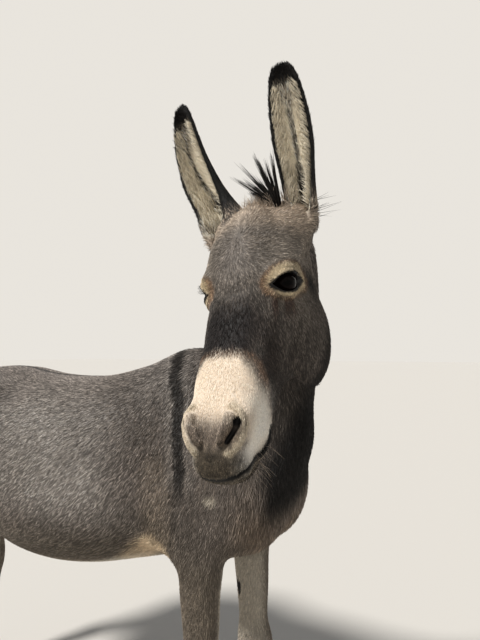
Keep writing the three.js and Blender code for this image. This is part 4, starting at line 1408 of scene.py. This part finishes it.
class DonkeySizes(bpy.types.PropertyGroup):
    """Sizes of the skin and the hair."""

    seed: IntProperty(name="Seed", description="Seed of the hair's random places", default=7, min=0)
    skin_faces: IntProperty(
        name="Skin triangles", description="How many triangles the skin is brought down to",
        default=150000, min=20000,
    )
    tuft_share: FloatProperty(
        name="Tufts", description="Share of the tufts that a full coat has", default=1.0, min=0.05, max=1.2
    )
    mane_length: length_field("Mane", "Length of the upright mane", 0.066, 0.01)
    forelock_length: length_field("Forelock", "Length of the longest forelock spikes", 0.142, 0.01)
    ear_hair_length: length_field("Ear hair", "Length of the hair inside the ears", 0.03, 0.004)
    lash_length: length_field("Lashes", "Length of the upper eyelashes", 0.017, 0.002)
    lamp_size: FloatProperty(
        name="Lamp", description="Angle that the key light spans", default=0.16, min=0.01, subtype="ANGLE"
    )
    lamp_power: FloatProperty(
        name="Lamp power", description="Strength of the key light", default=3.75, min=0
    )


HAIR_COLOURS = {
    "trunk": ("#7c736c", "grey-brown of the trunk"),
    "trunk_dark": ("#5f574f", "darker clouds of the trunk"),
    # painted sheen on the upper flanks, over their lighter grey
    "flank": ("#a69f98", "lighter grey of the upper flank"),
    "rump": ("#86827b", "grey of the rump"),
    "trunk_low": ("#675e52", "low part of the trunk"),
    "belly": ("#8f8271", "underside of the belly"),
    "tan": ("#cdb799", "tan patch behind the elbow"),
    "breast": ("#7f6c59", "tan of the breast"),
    "cross": ("#1c1917", "stripe down the spine and shoulders"),
    "neck": ("#77706a", "neck"),
    "leg": ("#72685c", "upper legs"),
    "leg_low": ("#857b6f", "lower legs"),
    # pale inner legs, lightened further as painted sunlight
    "leg_inner": ("#cac1b2", "inner side of the legs"),
    "chestnut": ("#1d1a18", "bare callus on the forelegs"),
    "forehead": ("#7a7269", "forehead"),
    # painted light on the brows
    "brow": ("#a1988e", "brow over the eyes"),
    "forehead_light": ("#867e77", "middle of the forehead"),
    # the poll's brown, lightened in part as painted sunlight
    "brown": ("#b9a998", "brown of the poll"),
    # painted shade on the temples
    "temple": ("#57504a", "temples"),
    "cheek": ("#332c28", "cheeks"),
    "bridge": ("#24201f", "bridge of the nose"),
    "under_eye": ("#5c554f", "below the eyes"),
    "rust": ("#7a6250", "border of the muzzle"),
    "cream": ("#eadac6", "cream of the nose"),
    # painted light: a lit copy of the cream for the sides of the nose
    "cream_shade": ("#f2e6d6", "sides of the nose"),
    "muzzle": ("#83766a", "grey of the muzzle"),
    # painted light on the muzzle's side
    "muzzle_light": ("#f4efe6", "light patches beside the nostrils"),
    "lip": ("#4b4337", "lips"),
    # painted shade under the chin
    "chin": ("#221d18", "chin"),
    # dark skin of lips and lids; along the mouth's line also painted shade
    "skin": ("#0b0908", "bare skin of lips and lids"),
    # painted shade round the nostrils and in their creases
    "nostril_rim": ("#6a5c4e", "rim of the nostrils"),
    # painted shade inside the nostrils; the dark hollows of the ears
    "inside": ("#120e0d", "inside of nostrils and ears"),
    "ring": ("#c6b597", "ring round the eyes"),
    "ring_edge": ("#6b5746", "outer edge of the eye ring"),
    "tear": ("#9f8269", "front corner of the eye ring"),
    "stain": ("#47362e", "wet hair below the eyes"),
    "ear_back": ("#2c2621", "back of the ears"),
    "ear_inside": ("#e6dbc5", "inside of the ears"),
    "ear_light": ("#ece2cd", "light hair low in the ears"),
    "ear_rim": ("#0c0a09", "rims and tips of the ears"),
    "mane": ("#171412", "mane and forelock"),
    "mane_tip": ("#2a2522", "tips of the mane"),
    "tail": ("#1c1917", "tuft of the tail"),
    "tail_root": ("#5b534b", "hair on the dock"),
    "whisker": ("#6a6056", "whiskers"),
    "pale_spot": ("#b3aa9b", "pale spot on the breast"),
    "wing": ("#c9bba4", "outer rim of the nostrils"),
    "horn": ("#3a3530", "hoof horn"),
    "iris": ("#0b0605", "iris"),
    "sclera": ("#1a1210", "dark white of the eye"),
    # painted shade, near black: throat, under the neck and jaw, behind the eyes; partly dark coat beside the
    # muzzle
    "throat": ("#0d0b0a", "throat and underside of the neck"),
    "wax": ("#5a4a3c", "folds at the foot of the ears"),
    "floor": ("#dad6cf", "floor and backdrop"),
}


def paint_group():
    """The property group of the colours, one for each of HAIR_COLOURS."""
    fields = {}
    for key, (code, words) in HAIR_COLOURS.items():
        fields[key] = FloatVectorProperty(
            name=words.capitalize(), description="Colour of the " + words, default=linear(code), size=3,
            subtype="COLOR", min=0, max=1,
        )
    body = {"__annotations__": fields, "__doc__": "Colours."}
    return type("DonkeyPaint", (bpy.types.PropertyGroup,), body)


DonkeyPaint = paint_group()


def settings(context):
    """The sizes, and the colours as a plain table."""
    paint = {key: np.array(getattr(context.scene.donkey_paint, key)) for key in HAIR_COLOURS}
    return context.scene.donkey_sizes, paint


def finish_piece(made, covers):
    """The piece stands for the nodes it covers, belongs to the root and fills a colour slot."""
    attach(made, "root")
    for name in covers:
        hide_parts(name)


def lock_piece(name, parts, material, covers, frame_, low, high):
    """A piece of hair from several lots of locks, laid on the unwrap of a frame between two ends."""
    vertices, faces, colours = joined(parts)
    uv = lock_places(faces, frame_, vertices, low, high)
    finish_piece(mesh_object(name, vertices, faces, material, colours, uv), covers)


def skin_surface():
    """The skin's (vertices, normals, triangles), which the coat grows on."""
    made = bpy.data.objects.get("skin")
    if made is None:
        raise RuntimeError("the skin is made first")
    return read_mesh(made)


# ---- Operators ----


class DONKEY_OT_skin(bpy.types.Operator):
    """Make the skin, one closed surface with folds, lids, lips and nostrils"""

    bl_idname = "donkey.skin"
    bl_label = "Skin"

    def execute(self, context):
        sizes, paint = settings(context)
        # The grid across, along and up the head: 2 to 4 mm apart there, and 10 mm on the body.
        marks = [
            ticks(-230, (-150, 10), (-134, 5), (190, 3.4), (1520, 9.8)),
            ticks(-300, (132, 3.6), (216, 2.2), (420, 3.6), (526, 2.4), (545, 3.6), (1330, 9.8)),
            ticks(-1260, (-300, 9.8), (-150, 4.5), (170, 3.2)),
        ]
        vertices, faces = surface_net(skin_field, HEAD, marks)
        made = mesh_object("skin", vertices, faces, hair_material("short hair on skin", 0.62, 0.15, 1.6))
        fewer = made.modifiers.new("fewer", "DECIMATE")
        fewer.ratio = min(sizes.skin_faces / (2 * len(faces)), 1.0)
        fewer.use_collapse_triangulate = True
        graph = context.evaluated_depsgraph_get()
        mesh = bpy.data.meshes.new_from_object(made.evaluated_get(graph))
        made.modifiers.clear()
        made.data = mesh
        mesh.polygons.foreach_set("use_smooth", np.full(len(mesh.polygons), True))
        points, *_ = read_mesh(made)
        colours = coat_marks(points, paint)
        # painted shade between the hairs: the skin under the coat darker than the coat, less so under pale
        # hair
        colours *= 0.55 + 0.35 * ramp(colours.max(axis=1), 0.3, 0.6)[:, None]  # dark between the hairs
        colour_layer(mesh, colours)
        finish_piece(made, FLESH)
        return {"FINISHED"}


class DONKEY_OT_coat(bpy.types.Operator):
    """Grow the short coat, as tufts that lie along the body"""

    bl_idname = "donkey.coat"
    bl_label = "Coat"

    def execute(self, context):
        sizes, paint = settings(context)
        rng = np.random.default_rng(sizes.seed)
        vertices, normals, triangles = skin_surface()
        *_, density = tuft_shape(vertices, normals)
        share = sizes.tuft_share * 1
        roots, normals = scatter(rng, vertices, normals, triangles, density[triangles].mean(axis=1) * share)
        *shape, _ = tuft_shape(roots, normals)
        region = skin_regions(roots)
        colours = coat_marks(roots, paint)
        ways = coat_lie(roots, normals)
        material = hair_material("coat hair", 0.55, 0.2, 2.4)
        for index, name in enumerate(COAT_PIECES):
            own = np.flatnonzero(region == index)
            if len(own) > MOST_TUFTS:
                own = rng.permutation(own)[:MOST_TUFTS]
            places, plain = coat_places(index, roots[own]), plainness(roots[own])
            own_shape = [size[own] for size in shape]
            parts = tufts(rng, roots[own], normals[own], ways[own], colours[own], own_shape, places, plain)
            made = mesh_object(name, parts[0], parts[1], material, parts[2], parts[3], smooth=False)
            finish_piece(made, ())
        return {"FINISHED"}


def crest_mane(rng, sizes, paint):
    """The mane: hairs that stand on the neck's crest and lean forward, shorter at both ends."""
    count = 1500
    s = rng.uniform(-40, 420, count)
    _, side, up, _, above, _, _, roll = station_curve(NECK_ROWS)(s)
    turn = np.radians(roll)
    out = np.stack([np.sin(turn), 0 * s, np.cos(turn)], 1)
    across = np.cross(out, (0, 1, 0))
    lean = rng.normal(0, 0.16, count)
    foot = np.stack([side, s, up], 1) + out * (above - 10)[:, None]
    foot += across * rng.normal(0, 7, count)[:, None]
    ways = out + across * lean[:, None] + np.array([0, 0.25, 0]) + rng.normal(0, 0.08, (count, 3))
    length = sizes.mane_length * MM * (0.55 + 0.45 * ramp(s, -40, 60)) * (1 - 0.45 * ramp(s, 330, 420))
    length *= 1 + 0.18 * soft_noise(np.stack([s, 0 * s, 0 * s], 1), 18, 2)
    length = length * rng.uniform(0.8, 1.1, count)
    return locks(
        rng, place(NECK, foot), ways @ NECK[1], (0, 0, 0), length, 2.6, paint["mane"], paint["mane_tip"]
    )


def forelock(rng, sizes, paint):
    """The forelock: pointed spikes of hair, fanned from upright to level across the poll."""
    count, spikes = 220, 16
    spike = rng.integers(0, spikes, count)
    fan = np.linspace(-0.05, 1.0, spikes)[spike] + rng.normal(0, 0.009, count)
    foot = [-56 + 10 * fan + rng.normal(0, 1.8, count), 6 + rng.normal(0, 2.4, count), 0 * fan - 14]
    tall = rng.uniform(0.55, 1, spikes)[spike] * (1 - 0.22 * fan)
    spread = rng.normal(0, 0.16, (spikes, 1))[spike, 0]
    ways = np.stack([np.sin(fan), -0.8 * np.cos(fan) + spread, 0.75 * np.cos(fan) + spread], 1)
    length = sizes.forelock_length * MM * tall * rng.uniform(0.8, 1, count)
    bend = rng.normal(0, 0.012, (count, 3)) + rng.normal(0, 0.03, (spikes, 3))[spike]
    return locks(
        rng, place(HEAD, np.stack(foot, 1)), ways @ HEAD[1], bend, length, 2.0, paint["mane"], paint["mane"]
    )


def poll_tuft(rng, paint):
    """The woolly brown tuft on the poll, between the ears."""
    count = 420
    foot = np.stack([rng.normal(-20, 22, count), rng.normal(2, 8, count), np.full(count, -16.0)], 1)
    ways = np.array((0.1, -0.75, 0.75)) + rng.normal(0, 0.3, (count, 3))
    return locks(
        rng, place(HEAD, foot), ways @ HEAD[1], rng.normal(0, 0.12, (count, 3)), rng.uniform(16, 30, count),
        1.5, paint["brown"] * 0.8, paint["brown"] * 1.25, rings=4,
    )


def stray_hairs(rng, paint):
    """A few long hairs that stand out at the left of the nape, under the ear."""
    count = 11
    foot = np.stack([np.full(count, -84.0), rng.uniform(-80, 10, count), np.full(count, -76.0)], 1)
    ways = np.array((-0.9, -0.42, -0.25)) + rng.normal(0, 0.16, (count, 3))
    return locks(
        rng, place(HEAD, foot), ways @ HEAD[1], rng.normal(0, 0.06, (count, 3)), rng.uniform(45, 80, count),
        1.3, paint["mane"], paint["mane"], rings=6,
    )


class DONKEY_OT_mane(bpy.types.Operator):
    """Make the upright mane along the crest and the forelock between the ears"""

    bl_idname = "donkey.mane"
    bl_label = "Mane"

    def execute(self, context):
        sizes, paint = settings(context)
        rng = np.random.default_rng(sizes.seed + 1)
        mane, lock = crest_mane(rng, sizes, paint), forelock(rng, sizes, paint)
        parts = [mane, lock, poll_tuft(rng, paint), stray_hairs(rng, paint)]
        lock_piece("mane", parts, hair_material("mane hair", 0.45, 0.0, 2.0), (), NECK, -60, 560)
        return {"FINISHED"}


def dock_roots(z, angle, share):
    """Directions round the tail's dock at heights z, and the points that share of the way out to its wall."""
    _, side, up, width, above, *_ = station_curve(DOCK_ROWS)(z)
    across, back = np.cos(angle), np.sin(angle)
    return across, back, np.stack([side + width * across * share, -up + above * back * share, z], 1)


def dock_core(paint):
    """The dock itself: a closed tube of rings, flat at both ends, for the hair to stand on."""
    rows, around = 12, 12
    z = np.repeat(np.linspace(640, 1068, rows), around)
    ring = dock_roots(z, np.tile(np.arange(around) * 2 * np.pi / around, rows), 1)[2]
    k, last = np.arange(1, around - 1), (rows - 1) * around
    ends = [np.stack([0 * k, k + 1, k], 1), np.stack([0 * k + last, last + k, last + k + 1], 1)]
    faces = np.concatenate([tube_walls(rows, around), *ends])
    return ring, faces, np.tile(paint["tail_root"], (len(ring), 1))


def tail_switch(rng, paint):
    """The tail's switch: long hairs from the dock's lower end, which hang down and draw together."""
    count = 900
    z = 645 + 120 * rng.random(count) ** 1.4
    across, back, foot = dock_roots(z, rng.uniform(0, 2 * np.pi, count), 0.8)
    ways = np.stack([0.16 * across, 0.14 * back, np.full(count, -1.0)], 1)
    length = (z - 388) * rng.uniform(0.72, 0.98, count)
    bend = np.stack([-0.15 * across, -0.13 * back, 0 * z], 1) + rng.normal(0, 0.02, (count, 3))
    return locks(rng, foot, ways, bend, length, 4.2, paint["tail"], paint["tail"], rings=6)


def dock_hair(rng, paint):
    """Short hair that lies down the dock."""
    count = 1500
    z = rng.uniform(690, 1040, count)
    across, back, foot = dock_roots(z, rng.uniform(0, 2 * np.pi, count), 0.93)
    ways = np.stack([0.16 * across, 0.16 * back, np.full(count, -1.0)], 1)
    return locks(
        rng, foot, ways, (0, 0, 0), rng.uniform(24, 40, count), 3.4, paint["tail_root"],
        paint["tail"] * 1.6, rings=3,
    )


class DONKEY_OT_tail(bpy.types.Operator):
    """Make the tail's short hair on the dock and the long tuft at its end"""

    bl_idname = "donkey.tail"
    bl_label = "Tail"

    def execute(self, context):
        sizes, paint = settings(context)
        rng = np.random.default_rng(sizes.seed + 2)
        long_hair, short_hair = tail_switch(rng, paint), dock_hair(rng, paint)
        parts = [dock_core(paint), short_hair, long_hair]
        axis = (np.array((0, 1052, 0.0)), UPRIGHT[1])
        material = hair_material("tail hair", 0.5, 0.0, 2.4)
        lock_piece("tail_hair", parts, material, ("tail",), axis, 300, 1100)
        return {"FINISHED"}


def ear_hair(rng, sizes, paint, s):
    """Pale hair inside an ear, from both sides of its scoop up and out of its opening."""
    count, (frame_, bow, _) = 900, EARS[s]
    share = rng.uniform(0.04, 0.86, count) ** 1.15
    width, depth, roll, wall = ear_section(s, share)
    hand = rng.choice((-1.0, 1.0), count)
    angle = hand * np.radians(roll) * rng.uniform(0.3, 0.92, count)
    across = (width - wall) * np.sin(angle) + bow * np.sin(np.pi * share)
    foot = place(frame_, np.stack([across, share * EAR_LENGTH, -(depth - wall) * np.cos(angle)], 1))
    ways = np.stack([-0.75 * np.sin(angle), 0.95 + 0 * angle, 0.55 + 0.2 * np.cos(angle)], 1)
    ways = (ways + rng.normal(0, 0.12, (count, 3))) @ frame_[1]
    length = sizes.ear_hair_length * MM * rng.uniform(0.5, 1.05, count) * (1 - 0.45 * share)
    return locks(
        rng, foot, ways, rng.normal(0, 0.1, (count, 3)), length, 1.5, paint["ear_inside"] * 0.8,
        paint["ear_light"] * 1.15, rings=4,
    )


def whiskers(rng, paint):
    """Whiskers on the lips and chin, from random corners of the skin there."""
    count = 100
    skin, normals, _ = skin_surface()
    d, f, u = folded(skin).T
    region = (f > 425) & (u < -86) & (d < 56) & (on_head(skin) > 0.5)
    chosen = rng.choice(np.flatnonzero(region), count)
    ways = normals[chosen] + 0.5 * unit(np.array((0, 0.5, -1)) @ HEAD[1]) + rng.normal(0, 0.15, (count, 3))
    return locks(
        rng, skin[chosen] - normals[chosen], ways, (0, 0, -0.15), rng.uniform(12, 42, count), 0.65,
        paint["whisker"], paint["whisker"] * 4, rings=4,
    )


def lashes(rng, sizes, paint, s):
    """The lashes of an upper lid, from points spaced along its edge."""
    count, frame_ = 90, eye_frame(s)
    t = np.linspace(-0.8, 0.92, count)
    at = np.stack([s * LID_UP * (1 - np.abs(t) ** LID_POWER), t * 26 - 3, 0 * t], 1)
    at[:, 2] = np.sqrt((EYE_RADIUS + 2.4) ** 2 - np.minimum((at[:, :2] ** 2).sum(1), 600))
    ways = np.stack([s * (0.45 + 0 * t), 0.5 * t + 0.1, 0.9 + 0 * t], 1) + rng.normal(0, 0.1, (count, 3))
    bend = np.tile(np.array((-0.25 * s, 0, 0)) @ frame_[1], (count, 1))
    length = sizes.lash_length * MM * rng.uniform(0.7, 1.1, count)
    return locks(
        rng, place(frame_, at), ways @ frame_[1], bend, length, 0.7, paint["skin"], paint["skin"] * 1.5,
        rings=4,
    )


class DONKEY_OT_fine_hair(bpy.types.Operator):
    """Make the hair inside the ears, the whiskers of the muzzle and the eyelashes"""

    bl_idname = "donkey.fine_hair"
    bl_label = "Ear hair, whiskers and lashes"

    def execute(self, context):
        sizes, paint = settings(context)
        rng = np.random.default_rng(sizes.seed + 3)
        parts = [ear_hair(rng, sizes, paint, s) for s in SIDES]
        lock_piece("ear_hair", parts, hair_material("ear hair", 0.6, 0.0, 2.0), (), HEAD, -330, 60)
        parts = [whiskers(rng, paint)] + [lashes(rng, sizes, paint, s) for s in SIDES]
        material = hair_material("whiskers", 0.5, 0.0, 2.0)
        lock_piece("whiskers", parts, material, (), FACE, -70, 560)
        return {"FINISHED"}


class DONKEY_OT_eyes(bpy.types.Operator):
    """Make the two eyes, dark balls with a bulging cornea and a long level pupil"""

    bl_idname = "donkey.eyes"
    bl_label = "Eyes"

    def execute(self, context):
        _, paint = settings(context)
        material = eye_material()
        rows, around = 31, 48
        lat = np.linspace(0, np.pi, rows + 2)[1:-1]
        turn, level = np.meshgrid(np.arange(around) * 2 * np.pi / around, lat)
        ball = np.stack([np.sin(level) * np.cos(turn), np.sin(level) * np.sin(turn), np.cos(level)], -1)
        ball = np.concatenate([ball.reshape(-1, 3), [(0, 0, 1), (0, 0, -1)]])
        reach = np.hypot(ball[:, 0], ball[:, 1])
        bulge = 1 + 0.03 * np.exp(-((reach / 0.5) ** 2)) * (ball[:, 2] > 0)
        pupil = ramp(np.hypot(ball[:, 1] / 0.42, ball[:, 0] / 0.2), 1.15, 0.85)[:, None]
        white = ramp(reach, 0.7, 0.8)[:, None]
        colours = paint["iris"] * (1.3 - pupil * 1.2) * (1 - white) + paint["sclera"] * white
        for s, name in ((1, "right"), (-1, "left")):
            points = place(eye_frame(s), ball * (EYE_RADIUS * bulge)[:, None])
            made = mesh_object("eyeball_" + name, points, closed_tube(rows, around), material, colours)
            finish_piece(made, ("eye_" + name,))
        return {"FINISHED"}


class DONKEY_OT_hooves(bpy.types.Operator):
    """Make the four hooves, with flat soles at the ground"""

    bl_idname = "donkey.hooves"
    bl_label = "Hooves"

    def execute(self, context):
        _, paint = settings(context)
        material = horn_material(paint["horn"])
        around = 64
        heights = np.array([0, 2, 6, 10, 14, 18, 22, 26, 30, 34, 38, 42, 46, 50, 52, 54, 56.0])
        _, share, toe, heel, forward = station_curve(HOOF_ROWS)(heights)
        grow = 1 + 0.006 * np.sin(heights * 0.9) * (heights > 2)  # growth rings
        angle = 2 * np.pi * np.arange(around) / around
        across, along = np.cos(angle)[None], np.sin(angle)[None]
        reach = np.where(along > 0, toe[:, None], heel[:, None])
        for kind, row in (("fore", FORE_HOOF_Y), ("hind", HIND_HOOF_Y)):
            for s, name in ((1, "left"), (-1, "right")):
                middle_x, y = s * STANCE_X, row[s] - forward[:, None] - along * reach * grow[:, None]
                x = middle_x + HOOF_HALF_WIDTH * (share * grow)[:, None] * across
                ring = np.stack([x, y, np.broadcast_to(heights[:, None], x.shape)], -1).reshape(-1, 3)
                middles = [(middle_x, row[s] - 12, heights[0]), (middle_x, row[s] - 22, heights[-1])]
                points, faces = np.concatenate([ring, middles]), closed_tube(len(heights), around)
                made = mesh_object("horn_{}_{}".format(kind, name), points, faces, material)
                finish_piece(made, ("hoof_{}_{}".format(kind, name),))
        return {"FINISHED"}


# ---- Floor, light and camera ----

FLOOR_REACH = 60.0  # metres from its middle to each edge
FILL_COLOUR = (0.95, 0.97, 1.0, 1)
KEY_COLOUR = (1.0, 0.98, 0.95)
KEY_FROM = (-0.59, 0.31, 0.74)
CAMERA_AT = (-1122, -748, 1186)  # mm of the animal's frame
CAMERA_TURN, CAMERA_PITCH = 28, 3.8  # degrees from +X towards +Y, and upwards
CAMERA_LENS = 27.06  # mm, on a sensor 27 mm wide and 36 mm high


def add_floor(scene, paint):
    """A floor that runs far past the camera's view."""
    mesh = bpy.data.meshes.new("floor")
    corners = [(FLOOR_REACH * x, FLOOR_REACH * y, 0) for x, y in ((-1, -1), (1, -1), (1, 1), (-1, 1))]
    mesh.from_pydata(corners, [], [(0, 1, 2, 3)])
    floor = bpy.data.objects.new("floor", mesh)
    scene.collection.objects.link(floor)
    mesh.materials.append(floor_material(paint["floor"]))


def add_world(scene, paint):
    """A soft fill for the donkey, behind a plain backdrop that only the camera and shiny surfaces see."""
    world = bpy.data.worlds.new("studio")
    scene.world = world
    world.use_nodes = True
    tree = world.node_tree
    tree.nodes.clear()
    lit = node(tree, "ShaderNodeBackground", {"Color": FILL_COLOUR, "Strength": 0.27})
    seen = node(tree, "ShaderNodeBackground", {"Color": (*paint["floor"], 1), "Strength": 1.16})
    ray = node(tree, "ShaderNodeLightPath").outputs
    shiny = node(
        tree, "ShaderNodeMath", {0: ray["Is Camera Ray"], 1: ray["Is Glossy Ray"]}, operation="MAXIMUM"
    )
    clear = node(
        tree, "ShaderNodeMath", {0: shiny.outputs[0], 1: ray["Is Transmission Ray"]}, operation="MAXIMUM"
    )
    chosen = node(tree, "ShaderNodeMixShader", {0: clear.outputs[0], 1: lit.outputs[0], 2: seen.outputs[0]})
    node(tree, "ShaderNodeOutputWorld", {"Surface": chosen.outputs[0]})


def add_key_light(scene, sizes):
    """A high, slightly warm key light from over the camera's left shoulder."""
    light = bpy.data.lights.new("key", "SUN")
    light.angle, light.energy, light.color = sizes.lamp_size, sizes.lamp_power, KEY_COLOUR
    made = bpy.data.objects.new("key", light)
    scene.collection.objects.link(made)
    out = unit(KEY_FROM)
    side = unit(np.cross((0, 0, 1), out))
    rows = np.stack([side, np.cross(out, side), out, out * 4], 1)  # it stands 4 m out
    made.matrix_world = Matrix([*rows.tolist(), (0, 0, 0, 1)])


def add_camera(scene):
    """A camera with a level horizon: its axes are right, above and the reverse of ahead."""
    camera = bpy.data.cameras.new("camera")
    camera.sensor_fit, camera.sensor_height, camera.sensor_width = "VERTICAL", 36, 27
    camera.lens = CAMERA_LENS
    made = bpy.data.objects.new("camera", camera)
    scene.collection.objects.link(made)
    turn, pitch = np.radians(CAMERA_TURN), np.radians(CAMERA_PITCH)
    level, right = np.array((np.cos(turn), np.sin(turn), 0)), np.array((np.sin(turn), -np.cos(turn), 0))
    ahead = np.cos(pitch) * level + np.sin(pitch) * np.array((0, 0, 1))
    above = np.cos(pitch) * np.array((0, 0, 1)) - np.sin(pitch) * level
    at = np.array(CAMERA_AT) / MM + OFFSET
    made.matrix_world = Matrix([(right[i], above[i], -ahead[i], at[i]) for i in range(3)] + [(0, 0, 0, 1)])
    scene.camera = made


class DONKEY_OT_stage(bpy.types.Operator):
    """Set the floor, the light and the camera"""

    bl_idname = "donkey.stage"
    bl_label = "Stage"

    def execute(self, context):
        sizes, paint = settings(context)
        scene = context.scene
        add_floor(scene, paint)
        add_world(scene, paint)
        add_key_light(scene, sizes)
        add_camera(scene)
        scene.view_settings.view_transform = "Standard"
        return {"FINISHED"}


class DONKEY_PT_panel(bpy.types.Panel):
    """The donkey's sizes, colours and steps"""

    bl_idname = "DONKEY_PT_panel"
    bl_label = "Donkey"
    bl_space_type = "VIEW_3D"
    bl_region_type = "UI"
    bl_category = "Donkey"

    def draw(self, context):
        for group in (context.scene.donkey_sizes, context.scene.donkey_paint):
            column = self.layout.column(align=True)
            for name in type(group).__annotations__:
                column.prop(group, name)
        for step in STEPS:
            self.layout.operator(step.bl_idname)


STEPS = (
    DONKEY_OT_skin,
    DONKEY_OT_coat,
    DONKEY_OT_mane,
    DONKEY_OT_tail,
    DONKEY_OT_fine_hair,
    DONKEY_OT_eyes,
    DONKEY_OT_hooves,
    DONKEY_OT_stage,
)


def register():
    """Add the properties, the steps and the panel."""
    for made in (DonkeySizes, DonkeyPaint, *STEPS, DONKEY_PT_panel):
        bpy.utils.register_class(made)
    bpy.types.Scene.donkey_sizes = PointerProperty(type=DonkeySizes)
    bpy.types.Scene.donkey_paint = PointerProperty(type=DonkeyPaint)


def unregister():
    """Take them away again."""
    del bpy.types.Scene.donkey_paint
    del bpy.types.Scene.donkey_sizes
    for made in reversed((DonkeySizes, DonkeyPaint, *STEPS, DONKEY_PT_panel)):
        bpy.utils.unregister_class(made)


def main():
    """Build the donkey and its stage, and write the two boxes."""
    register()
    for step in STEPS:
        getattr(bpy.ops.donkey, step.bl_idname.split(".")[1])()


if __name__ == "__main__":
    main()
